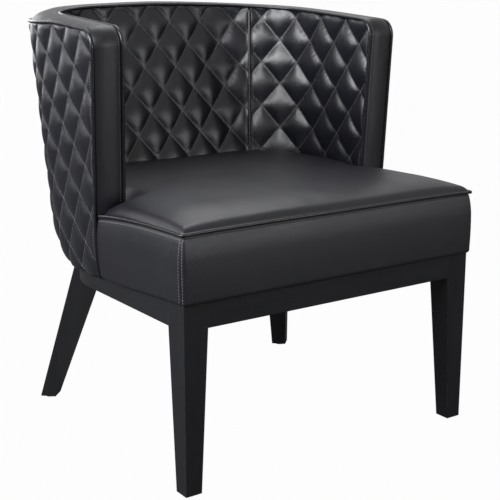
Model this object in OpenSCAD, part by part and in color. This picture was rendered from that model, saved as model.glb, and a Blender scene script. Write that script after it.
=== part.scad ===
// Upholstered accent chair with a quilted tub back on a wood base.
// The back and arms are one flared wall; x = 0 is its middle and +Y points to the rear.

/* [Base] */
// Half of the width over the rails and front legs
base_half = 306; // [270:1:340]
// Depth from the front rail to the outside of the rear rail
base_depth = 500; // [460:1:530]
// Outer corner radius of the rails at the rear
rail_corner = 185; // [140:1:210]
// Thickness of the rails
rail_thick = 22; // [16:1:28]
// Height of the underside of the rails above the floor
rail_bottom = 282; // [220:1:340]
// Height of the rails
rail_height = 42.5; // [34:0.5:60]

/* [Legs] */
// Width of a front leg at the rail, side to side
front_leg_w = 45; // [36:0.5:56]
// Width of a front leg at the rail, front to back
front_leg_d = 47; // [36:0.5:56]
// Width of every leg at the floor
foot_w = 30; // [22:0.5:34]
// Width of a rear leg at the rail
rear_leg_w = 50; // [40:0.5:56]
// Distance of a rear foot's middle inside the side of the base
foot_inside = 19.5; // [-4:0.5:66]
// Distance of a rear foot's middle behind the base
foot_behind = 52; // [0:1:90]
// Distance of a rear leg's middle inside the side of the base, at the rail's underside
leg_inside = 84.7; // [71:0.1:101]
// Distance of a rear leg's middle in front of the base's rear, at the rail's underside
leg_before = 20.6; // [10:0.1:35]
// Thickness of the plastic glides under the feet
glide_thick = 3; // [2:0.5:6]

/* [Seat] */
// Height of the seat's welt above the rails
band_height = 115; // [95:0.5:130]
// Rise of the seat's top above its welt
seat_crown = 25; // [10:1:40]
// Width of the rounded shoulder of the seat's top
shoulder = 58; // [30:1:90]
// How far the seat's front overhangs the rail at the bottom
overhang_low = 7.8; // [4:0.2:12]
// How far the seat's front overhangs the rail at the welt
overhang_high = 5.6; // [3:0.2:12]
// How far the seat overhangs the rails at the sides
overhang_side = 5.5; // [0:0.5:15]
// Drop of the side welt where it meets the arm
side_drop = 16; // [0:1:20]
// Drop of the welt at the seat's front corners
corner_drop = 2; // [0:0.5:5]
// Swell of the side bands at mid height
band_swell = 1; // [0:0.5:6]
// Radius inside the bend of the bands at the front corners
corner_bend = 1.5; // [1:0.5:14]

/* [Back and arms] */
// Thickness of the padded wall between its two welts
wall = 56; // [50:1:66]
// How far the arms stand out past the rails at the seat
arm_out_low = 15.4; // [12:0.1:39]
// How far the arms stand out past the rails at the rim
arm_out_high = 19.4; // [16:0.1:54]
// How far the back stands out behind the rails at the seat
back_out_low = 78.8; // [60:0.1:100]
// How far the back stands out behind the rails at the rim
back_out_high = 163; // [100:1:190]
// How much rounder the wall's corners are than the rails' at the seat
rounder_low = -0.9; // [-35:0.1:15]
// How much rounder the wall's corners are than the rails' at the rim
rounder_high = 37.5; // [-15:0.5:55]
// Distance of the arm's front edge behind the front rail, at the seat
arm_front_low = 257.7; // [240:0.1:300]
// Distance of the arm's front edge behind the front rail, at the rim
arm_front_high = 240; // [220:1:300]
// Height of the rim above the seat's welt at the middle of the back
back_height = 324.5; // [280:0.5:360]
// How far the rim falls from the middle of the back to the front of the arms
rim_fall = 27.5; // [0:0.5:60]
// Corner radius of the arm seen from the side
arm_corner = 29; // [15:1:40]
// Drop of the rim's outer edge below its inner edge at the back
tilt_back = 15; // [0:1:20]
// Drop of the rim's outer edge below its inner edge at the arms
tilt_side = 3; // [0:0.5:8]
// How far the wall laps down over the rails
rail_lap = 12.5; // [6.5:0.5:18.5]
// How far the lower edge of the back curls in
tuck_depth = 34; // [10:1:44]
// Height over which the lower edge curls in
tuck_span = 95; // [60:1:110]

/* [Upholstery] */
// Thickness of the quilted panels
panel_thick = 12; // [9:0.5:13]
// Thickness of the panels where they lap over the rail
lap_thick = 4; // [2:0.5:4]
// Puff of a diamond above its seams
puff = 5; // [2:0.5:6]
// Depth of a quilted panel's edge below its diamonds
hem_depth = 2; // [0:0.5:2]
// Width of a diamond
diamond_w = 73.5; // [50:0.5:110]
// Height of a diamond
diamond_h = 88.5; // [60:0.5:130]
// Swell of the plain border between the welts, on the arms
border_crown = 5; // [0:0.5:9]
// Swell of the plain border between the welts, along the back
back_crown = 10.5; // [0:0.5:16]
// Thickness of the plain border at its edges
border_thick = 2.5; // [1:0.5:2.8]
// Radius of the welts
welt_r = 3; // [2:0.5:4]
// Distance of the back's seams from the middle, at the seat
seam_low = 179.2; // [150:0.1:190]
// Distance of the back's seams from the middle along the wall, at the rim
seam_high = 222; // [180:1:250]
// Thickness of the seat's side bands
band_thick = 6; // [4:0.5:8]

/* [Hidden] */

// Colours
wood_black = "#1c1b1c";
leather_black = "#2b2c32";
leather_edge = "#1f2024";
plywood = "#b08d5c";
foam = "#e3d9b4";
steel = "#9a9da1";
glide_grey = "#3a3a3c";
cloth_black = "#202020";

// Fits
soft_gap = 0.3;
wood_gap = 0.2;
cut_over = 1;
band_lift = 1;
rail_top = rail_bottom + rail_height;
rail_middle = rail_bottom + rail_height / 2;

// Places that follow from the base
seat_welt_z = rail_top + band_height;
seat_half = base_half + overhang_side;
seat_corner = band_thick + corner_bend;
arm_low = base_half + arm_out_low;
arm_high = base_half + arm_out_high;
back_low = base_depth + back_out_low;
back_high = base_depth + back_out_high;
corner_low = rail_corner + rounder_low;
corner_high = rail_corner + rounder_high;
rim_back = seat_welt_z + back_height;
rim_front = rim_back - rim_fall;
shell_bottom = rail_top - rail_lap;
rear_foot_x = base_half - foot_inside;
rear_foot_y = base_depth + foot_behind;
rear_leg_x = base_half - leg_inside;
rear_leg_y = base_depth - leg_before;

// Wood frame inside the upholstery
deck_thick = 12;
ring_height = 26;
ring_width = 34;
frame_thick = 24;
frame_inset = 15.5;
hoop_height = 24;
post_run = 34;
post_width_share = 0.12;
back_post_shares = [0.55, 1.35];
cover_thick = 1;
cover_inset = 24;
block_height = 26;
block_half = 58;
bolt_d = 8;
bolt_hole = 8.6;
bolt_length = 70;
bolt_head_d = 16;
bolt_head_h = 5;
bolt_tip = 22;
panel_below = 19.5;
border_below = 13.5;
cord_in = 2.5;
pull_reach = 45;
pull_width = 40;
arm_pull_share = 0.45;
glide_d = 20;

// Numbers of steps along the forms
back_steps = 3;
arc_steps = 9;
side_steps = 3;
corner_steps = 4;
post_steps = 4;
welt_sides = 6;
band_rows = 6;
seat_rows = 7;
neck_rows = 5;
seat_columns = 9;
front_columns = 3;
frame_rows = 3;
hoop_columns = 9;
curl_rows = 3;
curl_power_share = 1.6;
full_circle = 64;
rail_circle = 180;

// Heights that follow from the sizes above
deck_z = rail_top;
ring_z = deck_z + deck_thick;
tuck_top = shell_bottom - soft_gap + tuck_span;
tuck_side_share = 0.25;
full_tuck = 1 - sqrt(1 - pow((tuck_span - soft_gap) / tuck_span, 2));
inner_lower = seat_welt_z - panel_below;
border_lower = seat_welt_z - border_below;

// Mixes two values
function mix(a, b, t) = a + (b - a) * t;
// Smooth step from 0 to 1
function ease(t) = let(u = max(0, min(1, t))) u * u * (3 - 2 * u);
function rise(z) = (z - seat_welt_z) / back_height;
// Inward curl of the wall near its lower edge
function tuck(z) = z < tuck_top
    ? tuck_depth * (1 - sqrt(1 - pow((tuck_top - z) / tuck_span, 2))) / full_tuck : 0;

// Plan of the wall at height z: half width, depth, corner radius, centre of the corner
function plan_w(z) = mix(arm_low, arm_high, rise(z)) - tuck_side_share * tuck(z);
function plan_b(z) = mix(back_low, back_high, rise(z)) - tuck(z);
function plan_r(z) = mix(corner_low, corner_high, rise(z));
function plan_c(z) = plan_b(z) - plan_r(z);
function arm_front(z) = mix(arm_front_low, arm_front_high, rise(z));

// Point of the wall, d inside its outer face. q runs 0 to 1 along the back, to 2 round the corner
// and to 3 along the arm.
function wall_pt(q, z, d) = let(w = plan_w(z) - d, r = plan_r(z) - d, c = plan_c(z), a = (q - 1) * 90)
    q <= 1 ? [q * (w - r), c + r, z]
    : q <= 2 ? [w - r + r * sin(a), c + r * cos(a), z]
    : [w, mix(c, arm_front(z), q - 2), z];
// Outward direction of the wall in plan
function wall_out(q) = let(a = max(0, min(1, q - 1)) * 90) [sin(a), cos(a), 0];
// q at a length s along the wall's face at depth d
function wall_q(s, z, d) = let(f = plan_w(z) - plan_r(z), r = plan_r(z) - d, bend = r * PI / 2)
    s <= f ? s / f
    : s <= f + bend ? 1 + (s - f) / bend
    : 2 + (s - f - bend) / (plan_c(z) - arm_front(z));
function wall_s(q, z, d) = let(f = plan_w(z) - plan_r(z), bend = (plan_r(z) - d) * PI / 2)
    min(q, 1) * f + max(0, min(1, q - 1)) * bend + max(0, q - 2) * (plan_c(z) - arm_front(z));
function mirrored(p, side) = [side * p[0], p[1], p[2]];

// Height of the rim's inner and outer edges
rim_power_share = 1.5;
rim_length = wall_s(3, rim_back, wall);
function rim_in(q) = rim_back
    - (rim_back - rim_front) * pow(wall_s(q, rim_back, wall) / rim_length, rim_power_share);
tilt_start_share = 1.5;
tilt_end_share = 2.4;
// Share of the way from the back's form of the border to the arms' form
function arm_form(q) = ease((q - tilt_start_share) / (tilt_end_share - tilt_start_share));
function rim_out(q) = rim_in(q) - mix(tilt_back, tilt_side, arm_form(q));
arm_run = plan_c(rim_front) - arm_front(rim_front);
arm_corner_share = arm_corner / arm_run;

// Rows [q, drop below the rim, angle of the outward direction] from the back's middle down the arm
function rim_rows(post_drop) = concat(
    [for (k = [0:back_steps - 1]) [k / back_steps, 0, 90]],
    [for (k = [0:arc_steps - 1]) [1 + k / arc_steps, 0, 90]],
    [for (k = [0:side_steps - 1]) [2 + k / side_steps * (1 - arm_corner_share), 0, 90]],
    [for (k = [0:corner_steps]) let(a = 90 - 90 * k / corner_steps)
        [3 - arm_corner_share * (1 - cos(a)), arm_corner * (1 - sin(a)), a]],
    [for (k = [1:post_steps]) [3, mix(arm_corner, post_drop, k / post_steps), 0]]);
// Whole row list, left arm to right arm, with the side in front
function both_sides(rows) = concat(
    [for (k = [len(rows) - 1:-1:1]) concat([-1], rows[k])],
    [for (row = rows) concat([1], row)]);
// Point of the rim: across 0 at the outer edge, 1 at the inner edge, lifted outward by h
function rim_pt(row, across, h) = let(q = row[1], a = row[3],
    p = wall_pt(q, mix(rim_out(q), rim_in(q), across) - row[2], across * wall))
    mirrored(p + h * [0, -cos(a), sin(a)], row[0]);
function rim_side(row) = mirrored(wall_out(row[1]), row[0]);

// Faces of a lattice of rows of n points whose rows close on themselves
function ring_faces(rows, n) = [for (i = [0:rows - 2], j = [0:n - 1]) let(k = (j + 1) % n)
    each [[i * n + j, i * n + k, (i + 1) * n + k], [i * n + j, (i + 1) * n + k, (i + 1) * n + j]]];
function cap(first, n, flip) = [for (j = [1:n - 2]) flip
    ? [first, first + j + 1, first + j] : [first, first + j, first + j + 1]];
// Solid that carries a closed outline along a path; rings holds one outline for each step
module swept(rings) {
    n = len(rings[0]);
    polyhedron([for (ring = rings) each ring],
        concat(ring_faces(len(rings), n), cap(0, n, true), cap((len(rings) - 1) * n, n, false)));
}
// Round cord along points, with two directions across it at each
function cord_rings(points, u, v) = [for (i = [0:len(points) - 1])
    [for (j = [0:welt_sides - 1]) let(a = 360 * j / welt_sides)
        points[i] + welt_r * (cos(a) * u[i] + sin(a) * v[i])]];

// Faces of one sheet of a slab, its diagonals turned from cell to cell to follow the diamonds
function sheet_faces(first, rows, columns, flip) = [for (i = [0:rows - 2], j = [0:columns - 2])
    let(a = first + i * columns + j, b = a + 1, c = b + columns, d = a + columns,
        even = (i + j) % 2 == 0,
        one = even ? [a, b, c] : [a, b, d],
        two = even ? [a, c, d] : [b, c, d])
    each flip ? [[one[2], one[1], one[0]], [two[2], two[1], two[0]]] : [one, two]];
function edge_faces(list, offset, flip) = [for (k = [0:len(list) - 1])
    let(a = list[k], b = list[(k + 1) % len(list)])
    each flip ? [[a, b + offset, a + offset], [a, b, b + offset]]
        : [[a, a + offset, b + offset], [a, b + offset, b]]];
// Solid between two sheets of the same rows and columns
module slab(front, back, flip = false) {
    rows = len(front);
    columns = len(front[0]);
    count = rows * columns;
    rim = concat([for (j = [0:columns - 1]) j],
        [for (i = [1:rows - 1]) i * columns + columns - 1],
        [for (j = [columns - 2:-1:0]) (rows - 1) * columns + j],
        [for (i = [rows - 2:-1:1]) i * columns]);
    polyhedron([each [for (row = front) each row], each [for (row = back) each row]],
        concat(sheet_faces(0, rows, columns, flip), sheet_faces(count, rows, columns, !flip),
            edge_faces(rim, count, flip)));
}

// Puff of the quilting at a place counted in half diamonds
function quilt(i, j) = (i + j) % 2 == 0 ? 0 : puff;
// Number of half diamonds that fill a length
function halves(length, size) = 2 * max(1, round(length / size));

// Top of a panel below the rim, rounded at the arm's front corner; gone is the run from the front
edge_gap = welt_r + soft_gap;
function corner_drop(gone) = let(r = arm_corner - edge_gap)
    gone < r ? r - sqrt(r * r - pow(r - max(0, gone), 2)) : 0;
function panel_top(q, across) = mix(rim_out(q), rim_in(q), across) - edge_gap
    - corner_drop((3 - q) * arm_run - edge_gap);
q_end = 3 - edge_gap / arm_run;
// Run from the arm's front to a column k of the rounded front corner, k = 0 at its start
function corner_gone(k) = (arm_corner - edge_gap) * (1 - cos(90 - 90 * k / front_columns));
// Columns [share of the run, k at the front corner] of a panel that ends at an arm
function arm_marks(n) = concat([for (j = [0:n]) [j / n, 0]], [for (k = [1:front_columns]) [1, k]]);
function plain_marks(n) = [for (j = [0:n]) [j / n, 0]];
function hem(i, j, rows, marks) = i == 0 || i >= rows || j == 0 || j == len(marks) - 1
    || marks[j][1] > 0;
// Seam at each rear corner between the outer panels
q_rear_seam = 1.5;
seam_share = soft_gap / corner_high;
// Thickness of an outer panel, thin where it laps over the rail
function outer_thick(z) = mix(lap_thick, panel_thick, ease((z - rail_top) / (2 * panel_thick)));

// Outer panel: side 1 or -1 runs from the rear seam to an arm, side 0 spans the back
module outer_panel(side) {
    q0 = side == 0 ? -q_rear_seam + seam_share : q_rear_seam + seam_share;
    q1 = side == 0 ? -q0 : q_end - corner_gone(0) / arm_run;
    run = wall_s(q1, rim_front, 0);
    length = side == 0 ? 2 * run : run - wall_s(q0, rim_front, 0);
    columns = halves(length, diamond_w);
    marks = side == 0 ? plain_marks(columns) : arm_marks(columns);
    rows = curl_rows + halves(rim_back - shell_bottom - tuck_span, diamond_h);
    q_at = [for (mark = marks) mix(q0, q1, mark[0])
        + (mark[1] > 0 ? (corner_gone(0) - corner_gone(mark[1])) / arm_run : 0)];
    function level(q, i) = i <= curl_rows
        ? shell_bottom + tuck_span * pow(i / curl_rows, curl_power_share)
        : mix(shell_bottom + tuck_span, panel_top(q, 0), (i - curl_rows) / (rows - curl_rows));
    function sheet(padded) = [for (i = [0:rows]) [for (j = [0:len(marks) - 1])
        let(q = abs(q_at[j]), z = level(q, i), thick = outer_thick(z),
            sink = min(thick / 2, hem(i, j, rows, marks) ? hem_depth : puff - quilt(i, j)))
        mirrored(wall_pt(q, z, padded ? sink : thick), side == 0 ? (q_at[j] < 0 ? -1 : 1) : side)]];
    slab(sheet(true), sheet(false), flip = side != -1);
}

// Seam between the back's middle and its wing, as q at height z
function seam_s(z) = mix(seam_low, seam_high, rise(z));
function seam_q(z) = wall_q(seam_s(z), z, wall);
// Inner panel: side 1 or -1 runs from the seam to an arm, side 0 is the middle of the back
module inner_panel(side) {
    function start(z) = side == 0 ? -seam_s(z) + edge_gap : seam_s(z) + edge_gap;
    function stop(z) = side == 0 ? seam_s(z) - edge_gap : wall_s(q_end, z, wall) - corner_gone(0);
    middle_z = (rim_front + inner_lower) / 2;
    columns = halves(stop(middle_z) - start(middle_z), diamond_w);
    marks = side == 0 ? plain_marks(columns) : arm_marks(columns);
    rows = halves(rim_back - inner_lower, diamond_h);
    function place(mark, z) = mix(start(z), stop(z), mark[0])
        + (mark[1] > 0 ? corner_gone(0) - corner_gone(mark[1]) : 0);
    function top_at(mark) = panel_top(wall_q(abs(place(mark, rim_front)), rim_front, wall), 1);
    function sheet(d, padded) = [for (i = [0:rows]) [for (j = [0:len(marks) - 1])
        let(z = mix(inner_lower, top_at(marks[j]), i / rows), s = place(marks[j], z),
            sink = !padded ? 0 : hem(i, j, rows, marks) ? hem_depth : puff - quilt(i, j))
        mirrored(wall_pt(wall_q(abs(s), z, wall), z, d - sink), side == 0 ? (s < 0 ? -1 : 1) : side)]];
    slab(sheet(wall, true), sheet(wall - panel_thick, false), flip = side == -1);
}

// Piece of the frame between the panels: q0 to q1 along the wall, its lower and upper heights
module frame_piece(q0, q1, low, high, columns, rows, side0 = 1, side1 = 1) {
    cells = [for (j = [0:columns]) mix(side0 * q0, side1 * q1, j / columns)];
    function face(d) = [for (i = [0:rows]) [for (j = [0:columns]) let(q = abs(cells[j]),
        z = mix(low, high, i / rows))
        mirrored(wall_pt(q, z, d), cells[j] < 0 ? -1 : 1)]];
    slab(face(frame_inset), face(frame_inset + frame_thick), flip = side1 * q1 < side0 * q0);
}

// Drop of the seat's side edge: from the front corner's own drop to the arms'
function edge_fall(y) = mix(corner_drop, side_drop, pow(max(0, min(1, y / arm_front_low)), 3));
// Level of the seat's edge, and of the same drop carried across the seat
function seat_edge(x, y) = seat_welt_z - edge_fall(y) * pow(min(1, abs(x) / seat_half), 6);
// Half width of the seat in front of the arms
function seat_w(y, z) = mix(seat_half, plan_w(z), ease(y / arm_front_low));
// How much of the crown is there at a distance d from an edge, and where two edges meet
function shoulder_share(d) = 1 - pow(1 - max(0, min(1, d / shoulder)), 3);
function corner_share(a, b) = max(0, 1 - pow(pow(1 - a, 8) + pow(1 - b, 8), 1 / 8));
// The top is pulled down in the crease where it passes the front of an arm
half_neck = plan_w(seat_welt_z) - wall - soft_gap;
function pulled_share(x, y) = arm_pull_share * ease((abs(x) - half_neck) / pull_width + 1)
    * ease(1 - abs(y - split) / pull_reach);
crown_middle = 2;
cushion_inset = cord_in + edge_gap;
function seat_top(x, y) = let(front = shoulder_share(y + overhang_high - cushion_inset),
    side = shoulder_share(seat_half - cushion_inset - abs(x)))
    seat_edge(x, y) + (1 - pulled_share(x, y)) * ((seat_crown - crown_middle) * corner_share(front, side)
        + crown_middle * front * (1 - pow(min(1, abs(x) / seat_half), 2)));
// Front edge of the seat in plan, with its rounded corners
function seat_front(x, w, inset) = let(r = seat_corner, over = max(0, min(r, abs(x) - (w - r))))
    -overhang_high + inset + r - sqrt(max(0, r * r - over * over));
// Where the seat's front part ends and its neck between the arms begins
split = arm_front(seat_welt_z) - border_crown - soft_gap;
// Columns of the neck from its middle to where its corner, of radius r about y = c, meets the split
function neck_marks(c, r) = let(last = c >= split ? 2 : 1 + acos((split - c) / r) / 90)
    [for (j = [0:seat_columns]) last * j / seat_columns];
// Back edge of the neck: inside the padded wall at height z, or inside the frame's ring
function wall_necks(z) = let(d = wall + soft_gap)
    [for (q = neck_marks(plan_c(z), plan_r(z) - d)) wall_pt(q, z, d)];
function ring_necks() = let(r = rail_corner - ring_inset - ring_width - soft_gap)
    [for (q = neck_marks(rail_arc_y, r)) let(a = max(0, q - 1) * 90)
        [min(q, 1) * rail_arc_x + r * sin(a), rail_arc_y + r * cos(a), 0]];
// Sheet of the T-shaped seat: rows across its front part, then across the neck between the arms
function seat_sheet(inset, w_z, necks, level) = let(neck_x = necks[seat_columns][0])
    [for (i = [0:seat_rows + neck_rows]) [for (j = [-seat_columns:seat_columns])
        let(neck = necks[abs(j)],
            share = neck[0] / neck_x,
            front_row = i <= seat_rows,
            t = front_row ? i / seat_rows : (i - seat_rows - 1) / (neck_rows - 1),
            w = seat_w(t * split, w_z) - inset,
            last = seat_columns - abs(j),
            rear_x = last == 0 ? w : last == 1 ? neck_x : neck[0],
            x = front_row ? mix(share * w, rear_x, t) : neck[0],
            start = seat_front(x, w, inset),
            y = front_row ? mix(start, split, t) : mix(split + soft_gap, neck[1], t),
            sx = j < 0 ? -x : x)
        [sx, y, level(sx, y)]]];

// Side band of the seat between the front corner and the arm; t runs along it, h up it
function band_low(y) = mix(rail_top + band_lift, shell_bottom, ease(y / arm_front_low));
function band_high(y) = seat_welt_z - edge_fall(y) - edge_gap;
function swell(h) = band_swell * sin(180 * h);
module side_band(side) {
    low_y = seat_corner - overhang_high;
    columns = 8;
    function y_at(t, z) = mix(low_y, arm_front(z) - edge_gap, t);
    function z_at(t, h) = mix(band_low(t * arm_front_low), band_high(t * arm_front_low), h);
    function face(d) = [for (i = [0:band_rows]) [for (j = [0:columns])
        let(t = j / columns, h = i / band_rows, z = z_at(t, h), y = y_at(t, z),
            out = seat_w(y, z) + swell(h) * (1 - t),
            room = max(base_half + wood_gap, out - band_thick))
        [side * (d == 0 ? out : room), y, z]]];
    slab(face(0), face(1), flip = side > 0);
}
module front_band() {
    steps = 4;
    flat_steps = 4;
    bend = seat_corner;
    flat = seat_half - bend;
    turn_end = 90 - atan(soft_gap / seat_corner);
    marks = concat([for (k = [steps:-1:1]) [-1, turn_end * k / steps]],
        [for (k = [-flat_steps:flat_steps]) [sin(90 * k / flat_steps), 0]],
        [for (k = [1:steps]) [1, turn_end * k / steps]]);
    function face(d) = [for (i = [0:band_rows]) [for (mark = marks)
        let(h = i / band_rows, a = mark[1], reach = bend - d,
            z = mix(rail_top + band_lift, seat_edge(mark[0] * flat, 0) - edge_gap, h),
            out = mix(overhang_low, overhang_high, h) + swell(h),
            lift = swell(h) * sin(a))
        [mark[0] * flat + sign(mark[0]) * (reach + lift) * sin(a),
            -out + bend - reach * cos(a), z]]];
    slab(face(0), face(band_thick), flip = false);
}

// Path of the seat's welt, a little behind the face of the bands: left side, front and its two
// corners, right side
module seat_cord() {
    bend_steps = 4;
    flat_steps = 4;
    run_steps = 6;
    bend = seat_corner - cord_in;
    flat = seat_half - seat_corner;
    front = cord_in - overhang_high;
    back = arm_front(seat_welt_z) - edge_gap - border_crown;
    half = concat(
        [for (k = [0:flat_steps - 1]) [flat * sin(90 * k / flat_steps), front, 0]],
        [for (k = [0:bend_steps]) let(a = 90 * k / bend_steps)
            [flat + bend * sin(a), front + bend - bend * cos(a), a]],
        [for (k = [1:run_steps]) let(y = mix(front + bend, back, k / run_steps))
            [seat_w(y, seat_welt_z - side_drop) - cord_in, y, 90]]);
    marks = concat([for (k = [len(half) - 1:-1:1]) [-half[k][0], half[k][1], -half[k][2]]], half);
    points = [for (m = marks) [m[0], m[1], seat_edge(m[2] == 0 ? m[0] : seat_half, m[1])]];
    swept(cord_rings(points, [for (m = marks) [sin(m[2]), -cos(m[2]), 0]], [for (m = marks) [0, 0, 1]]));
}

// The whole chair is centred front to back on its own depth
rows_drawn = [for (i = [0:band_rows]) let(h = i / band_rows)
    mix(overhang_low, overhang_high, h) + swell(h)];
front_reach = max(rows_drawn);
back_reach = plan_b(rim_out(0)) + welt_r;
middle_y = (back_reach - front_reach) / 2;
module placed() {
    translate([0, -middle_y, 0]) children();
}
module mirror_to(side) {
    mirror([side < 0 ? 1 : 0, 0, 0]) children();
}

// Front leg: its outer faces stand upright and its inner faces taper to the floor
module front_leg(side) {
    color(wood_black) placed() mirror_to(side) difference() {
        union() {
            translate([base_half - front_leg_w, 0, rail_bottom])
                cube([front_leg_w, front_leg_d, rail_height]);
            front_taper();
        }
        front_bolt_path() bolt_bore();
    }
}
module front_taper() {
    leg_low = glide_thick;
    polyhedron([for (level = [[leg_low, foot_w, foot_w], [rail_bottom, front_leg_w, front_leg_d]])
        each [[base_half - level[1], 0, level[0]], [base_half, 0, level[0]],
            [base_half, level[2], level[0]], [base_half - level[1], level[2], level[0]]]],
        [[0, 1, 2, 3], [7, 6, 5, 4], [0, 4, 5, 1], [1, 5, 6, 2], [2, 6, 7, 3], [3, 7, 4, 0]]);
}

// Rear leg: square, turned a half right angle and splayed out on the corner
lean_x = (rear_foot_x - rear_leg_x) / rail_bottom;
lean_y = (rear_foot_y - rear_leg_y) / rail_bottom;
leg_top = shell_bottom - wood_gap - wood_gap;
function rear_axis(z) = [rear_leg_x + (rail_bottom - z) * lean_x,
    rear_leg_y + (rail_bottom - z) * lean_y, z];
function rear_width(z) = z >= rail_bottom ? rear_leg_w : mix(foot_w, rear_leg_w, z / rail_bottom);
function rear_ring(z) = [for (k = [0:3]) rear_axis(z)
    + rear_width(z) / sqrt(2) * [cos(90 * k), sin(90 * k), 0]];
module rear_leg(side) {
    color(wood_black) placed() mirror_to(side) difference() {
        polyhedron([for (z = [glide_thick, rail_bottom, leg_top]) each rear_ring(z)],
            concat([[3, 2, 1, 0], [8, 9, 10, 11]], [for (i = [0:1], k = [0:3]) let(n = (k + 1) % 4)
                [i * 4 + k, i * 4 + n, i * 4 + 4 + n, i * 4 + 4 + k]]));
        rear_bolt_path() bolt_bore();
    }
}

// Round glides under the four feet
module foot_glides() {
    color(glide_grey) placed() for (side = [-1, 1]) mirror_to(side) {
        translate([base_half - foot_w / 2, foot_w / 2, 0])
            cylinder(d = glide_d, h = glide_thick, $fn = full_circle);
        translate([rear_axis(glide_thick)[0], rear_axis(glide_thick)[1], 0])
            cylinder(d = glide_d, h = glide_thick, $fn = full_circle);
    }
}

// Rails: straight at the front and sides, bent round the rear corners
module front_rail() {
    half = base_half - front_leg_w - wood_gap / 2;
    color(wood_black) placed() translate([-half, 0, rail_bottom])
        cube([2 * half, rail_thick, rail_height]);
}
rail_arc_x = base_half - rail_corner;
rail_arc_y = base_depth - rail_corner;
module rail_bend() {
    translate([rail_arc_x, rail_arc_y, rail_bottom])
        rotate_extrude(angle = 90, $fn = rail_circle)
        translate([rail_corner - rail_thick, 0]) square([rail_thick, rail_height]);
}
// Room that a rear leg takes between the two rails, from one side of it or the other
module beside_leg(way) {
    reach = base_depth;
    room = rear_leg_w / 2 + lean_x + wood_gap;
    translate([rear_leg_x, rear_leg_y, rail_bottom - cut_over]) rotate([0, 0, 45])
        translate([-reach / 2, way > 0 ? -room : -reach, 0])
        cube([reach, reach + (way > 0 ? 0 : room), rail_height + 2 * cut_over]);
}
module side_rail(side) {
    color(wood_black) placed() mirror_to(side) difference() {
        union() {
            translate([base_half - rail_thick, front_leg_d + wood_gap / 2, rail_bottom])
                cube([rail_thick, rail_arc_y - front_leg_d - wood_gap / 2, rail_height]);
            rail_bend();
        }
        beside_leg(1);
    }
}
module rear_rail() {
    color(wood_black) placed() {
        translate([-rail_arc_x, base_depth - rail_thick, rail_bottom])
            cube([2 * rail_arc_x, rail_thick, rail_height]);
        for (side = [-1, 1]) mirror_to(side) difference() {
            rail_bend();
            beside_leg(-1);
        }
    }
}

// Corner blocks that hold the legs, with a bolt through each
block_z = rail_middle - block_height / 2;
front_leg_middle = [base_half - front_leg_w / 2, front_leg_d / 2];
// Distance of a bolt's head from the middle of its leg
head_reach = bolt_length - bolt_tip / 2;
module bolt_bore() {
    cylinder(d = bolt_hole, h = bolt_length + cut_over, $fn = full_circle);
}
module front_bolt_path() {
    translate([front_leg_middle[0], front_leg_middle[1], rail_middle])
        rotate([0, 0, 135]) rotate([0, 90, 0])
        translate([0, 0, -bolt_tip / 2]) children();
}
module front_corner_blocks() {
    x0 = base_half - front_leg_w - wood_gap;
    x1 = base_half - rail_thick - wood_gap;
    y0 = rail_thick + wood_gap;
    y1 = front_leg_d + wood_gap;
    run = head_reach * sqrt(2);
    color(plywood) placed() for (side = [-1, 1]) mirror_to(side) difference() {
        translate([0, 0, block_z]) linear_extrude(block_height)
            polygon([[x0, y0], [x0, y1], [x1, y1],
                [x1, front_leg_middle[1] + x1 - front_leg_middle[0] + run],
                [front_leg_middle[0] + y0 - front_leg_middle[1] - run, y0]]);
        front_bolt_path() bolt_bore();
    }
}
rear_bolt_z = (rail_bottom + leg_top) / 2;
module rear_bolt_path() {
    translate(rear_axis(rear_bolt_z)) rotate([0, 0, 225]) rotate([0, 90, 0])
        translate([0, 0, -bolt_tip / 2]) children();
}
module rear_corner_blocks() {
    low = leg_top - block_height;
    at = rear_axis(rear_bolt_z);
    face = rear_leg_w / 2 + wood_gap + (leg_top - rear_bolt_z) * (lean_x + lean_y) / sqrt(2);
    color(plywood) placed() for (side = [-1, 1]) mirror_to(side) difference() {
        intersection() {
            translate([rail_arc_x, rail_arc_y, low])
                cylinder(r = rail_corner - rail_thick - wood_gap, h = block_height, $fn = rail_circle);
            translate([at[0], at[1], low]) rotate([0, 0, 225])
                translate([face, -block_half, 0]) cube([head_reach - face, 2 * block_half, block_height]);
        }
        rear_bolt_path() bolt_bore();
    }
}
module bolt() {
    cylinder(d = bolt_d, h = bolt_length, $fn = full_circle);
    translate([0, 0, bolt_length]) cylinder(d = bolt_head_d, h = bolt_head_h, $fn = full_circle);
}
module leg_bolts() {
    color(steel) placed() for (side = [-1, 1]) mirror_to(side) {
        front_bolt_path() bolt();
        rear_bolt_path() bolt();
    }
}

// Outline of the rails in plan, drawn in by an inset, from a front edge to the rear
module base_outline(inset, front) {
    r = rail_corner - inset;
    half = base_half - inset;
    intersection() {
        union() {
            translate([-half, 0]) square([2 * half, rail_arc_y]);
            translate([-rail_arc_x, rail_arc_y]) square([2 * rail_arc_x, r]);
            for (side = [-1, 1]) translate([side * rail_arc_x, rail_arc_y]) circle(r, $fn = rail_circle);
        }
        translate([-half, front]) square([2 * half, base_depth - front]);
    }
}
module seat_panel() {
    color(plywood) placed() translate([0, 0, deck_z]) linear_extrude(deck_thick)
        base_outline(wood_gap, 0);
}
ring_inset = wood_gap + lap_thick;
module base_ring() {
    color(plywood) placed() translate([0, 0, ring_z]) linear_extrude(ring_height) difference() {
        base_outline(ring_inset, arm_front_low + edge_gap);
        base_outline(ring_inset + ring_width, arm_front_low - cut_over);
    }
}
module dust_cover() {
    color(cloth_black) placed() translate([0, 0, deck_z - cover_thick]) linear_extrude(cover_thick)
        base_outline(cover_inset, rail_thick + 2 * cover_thick);
}

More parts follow.
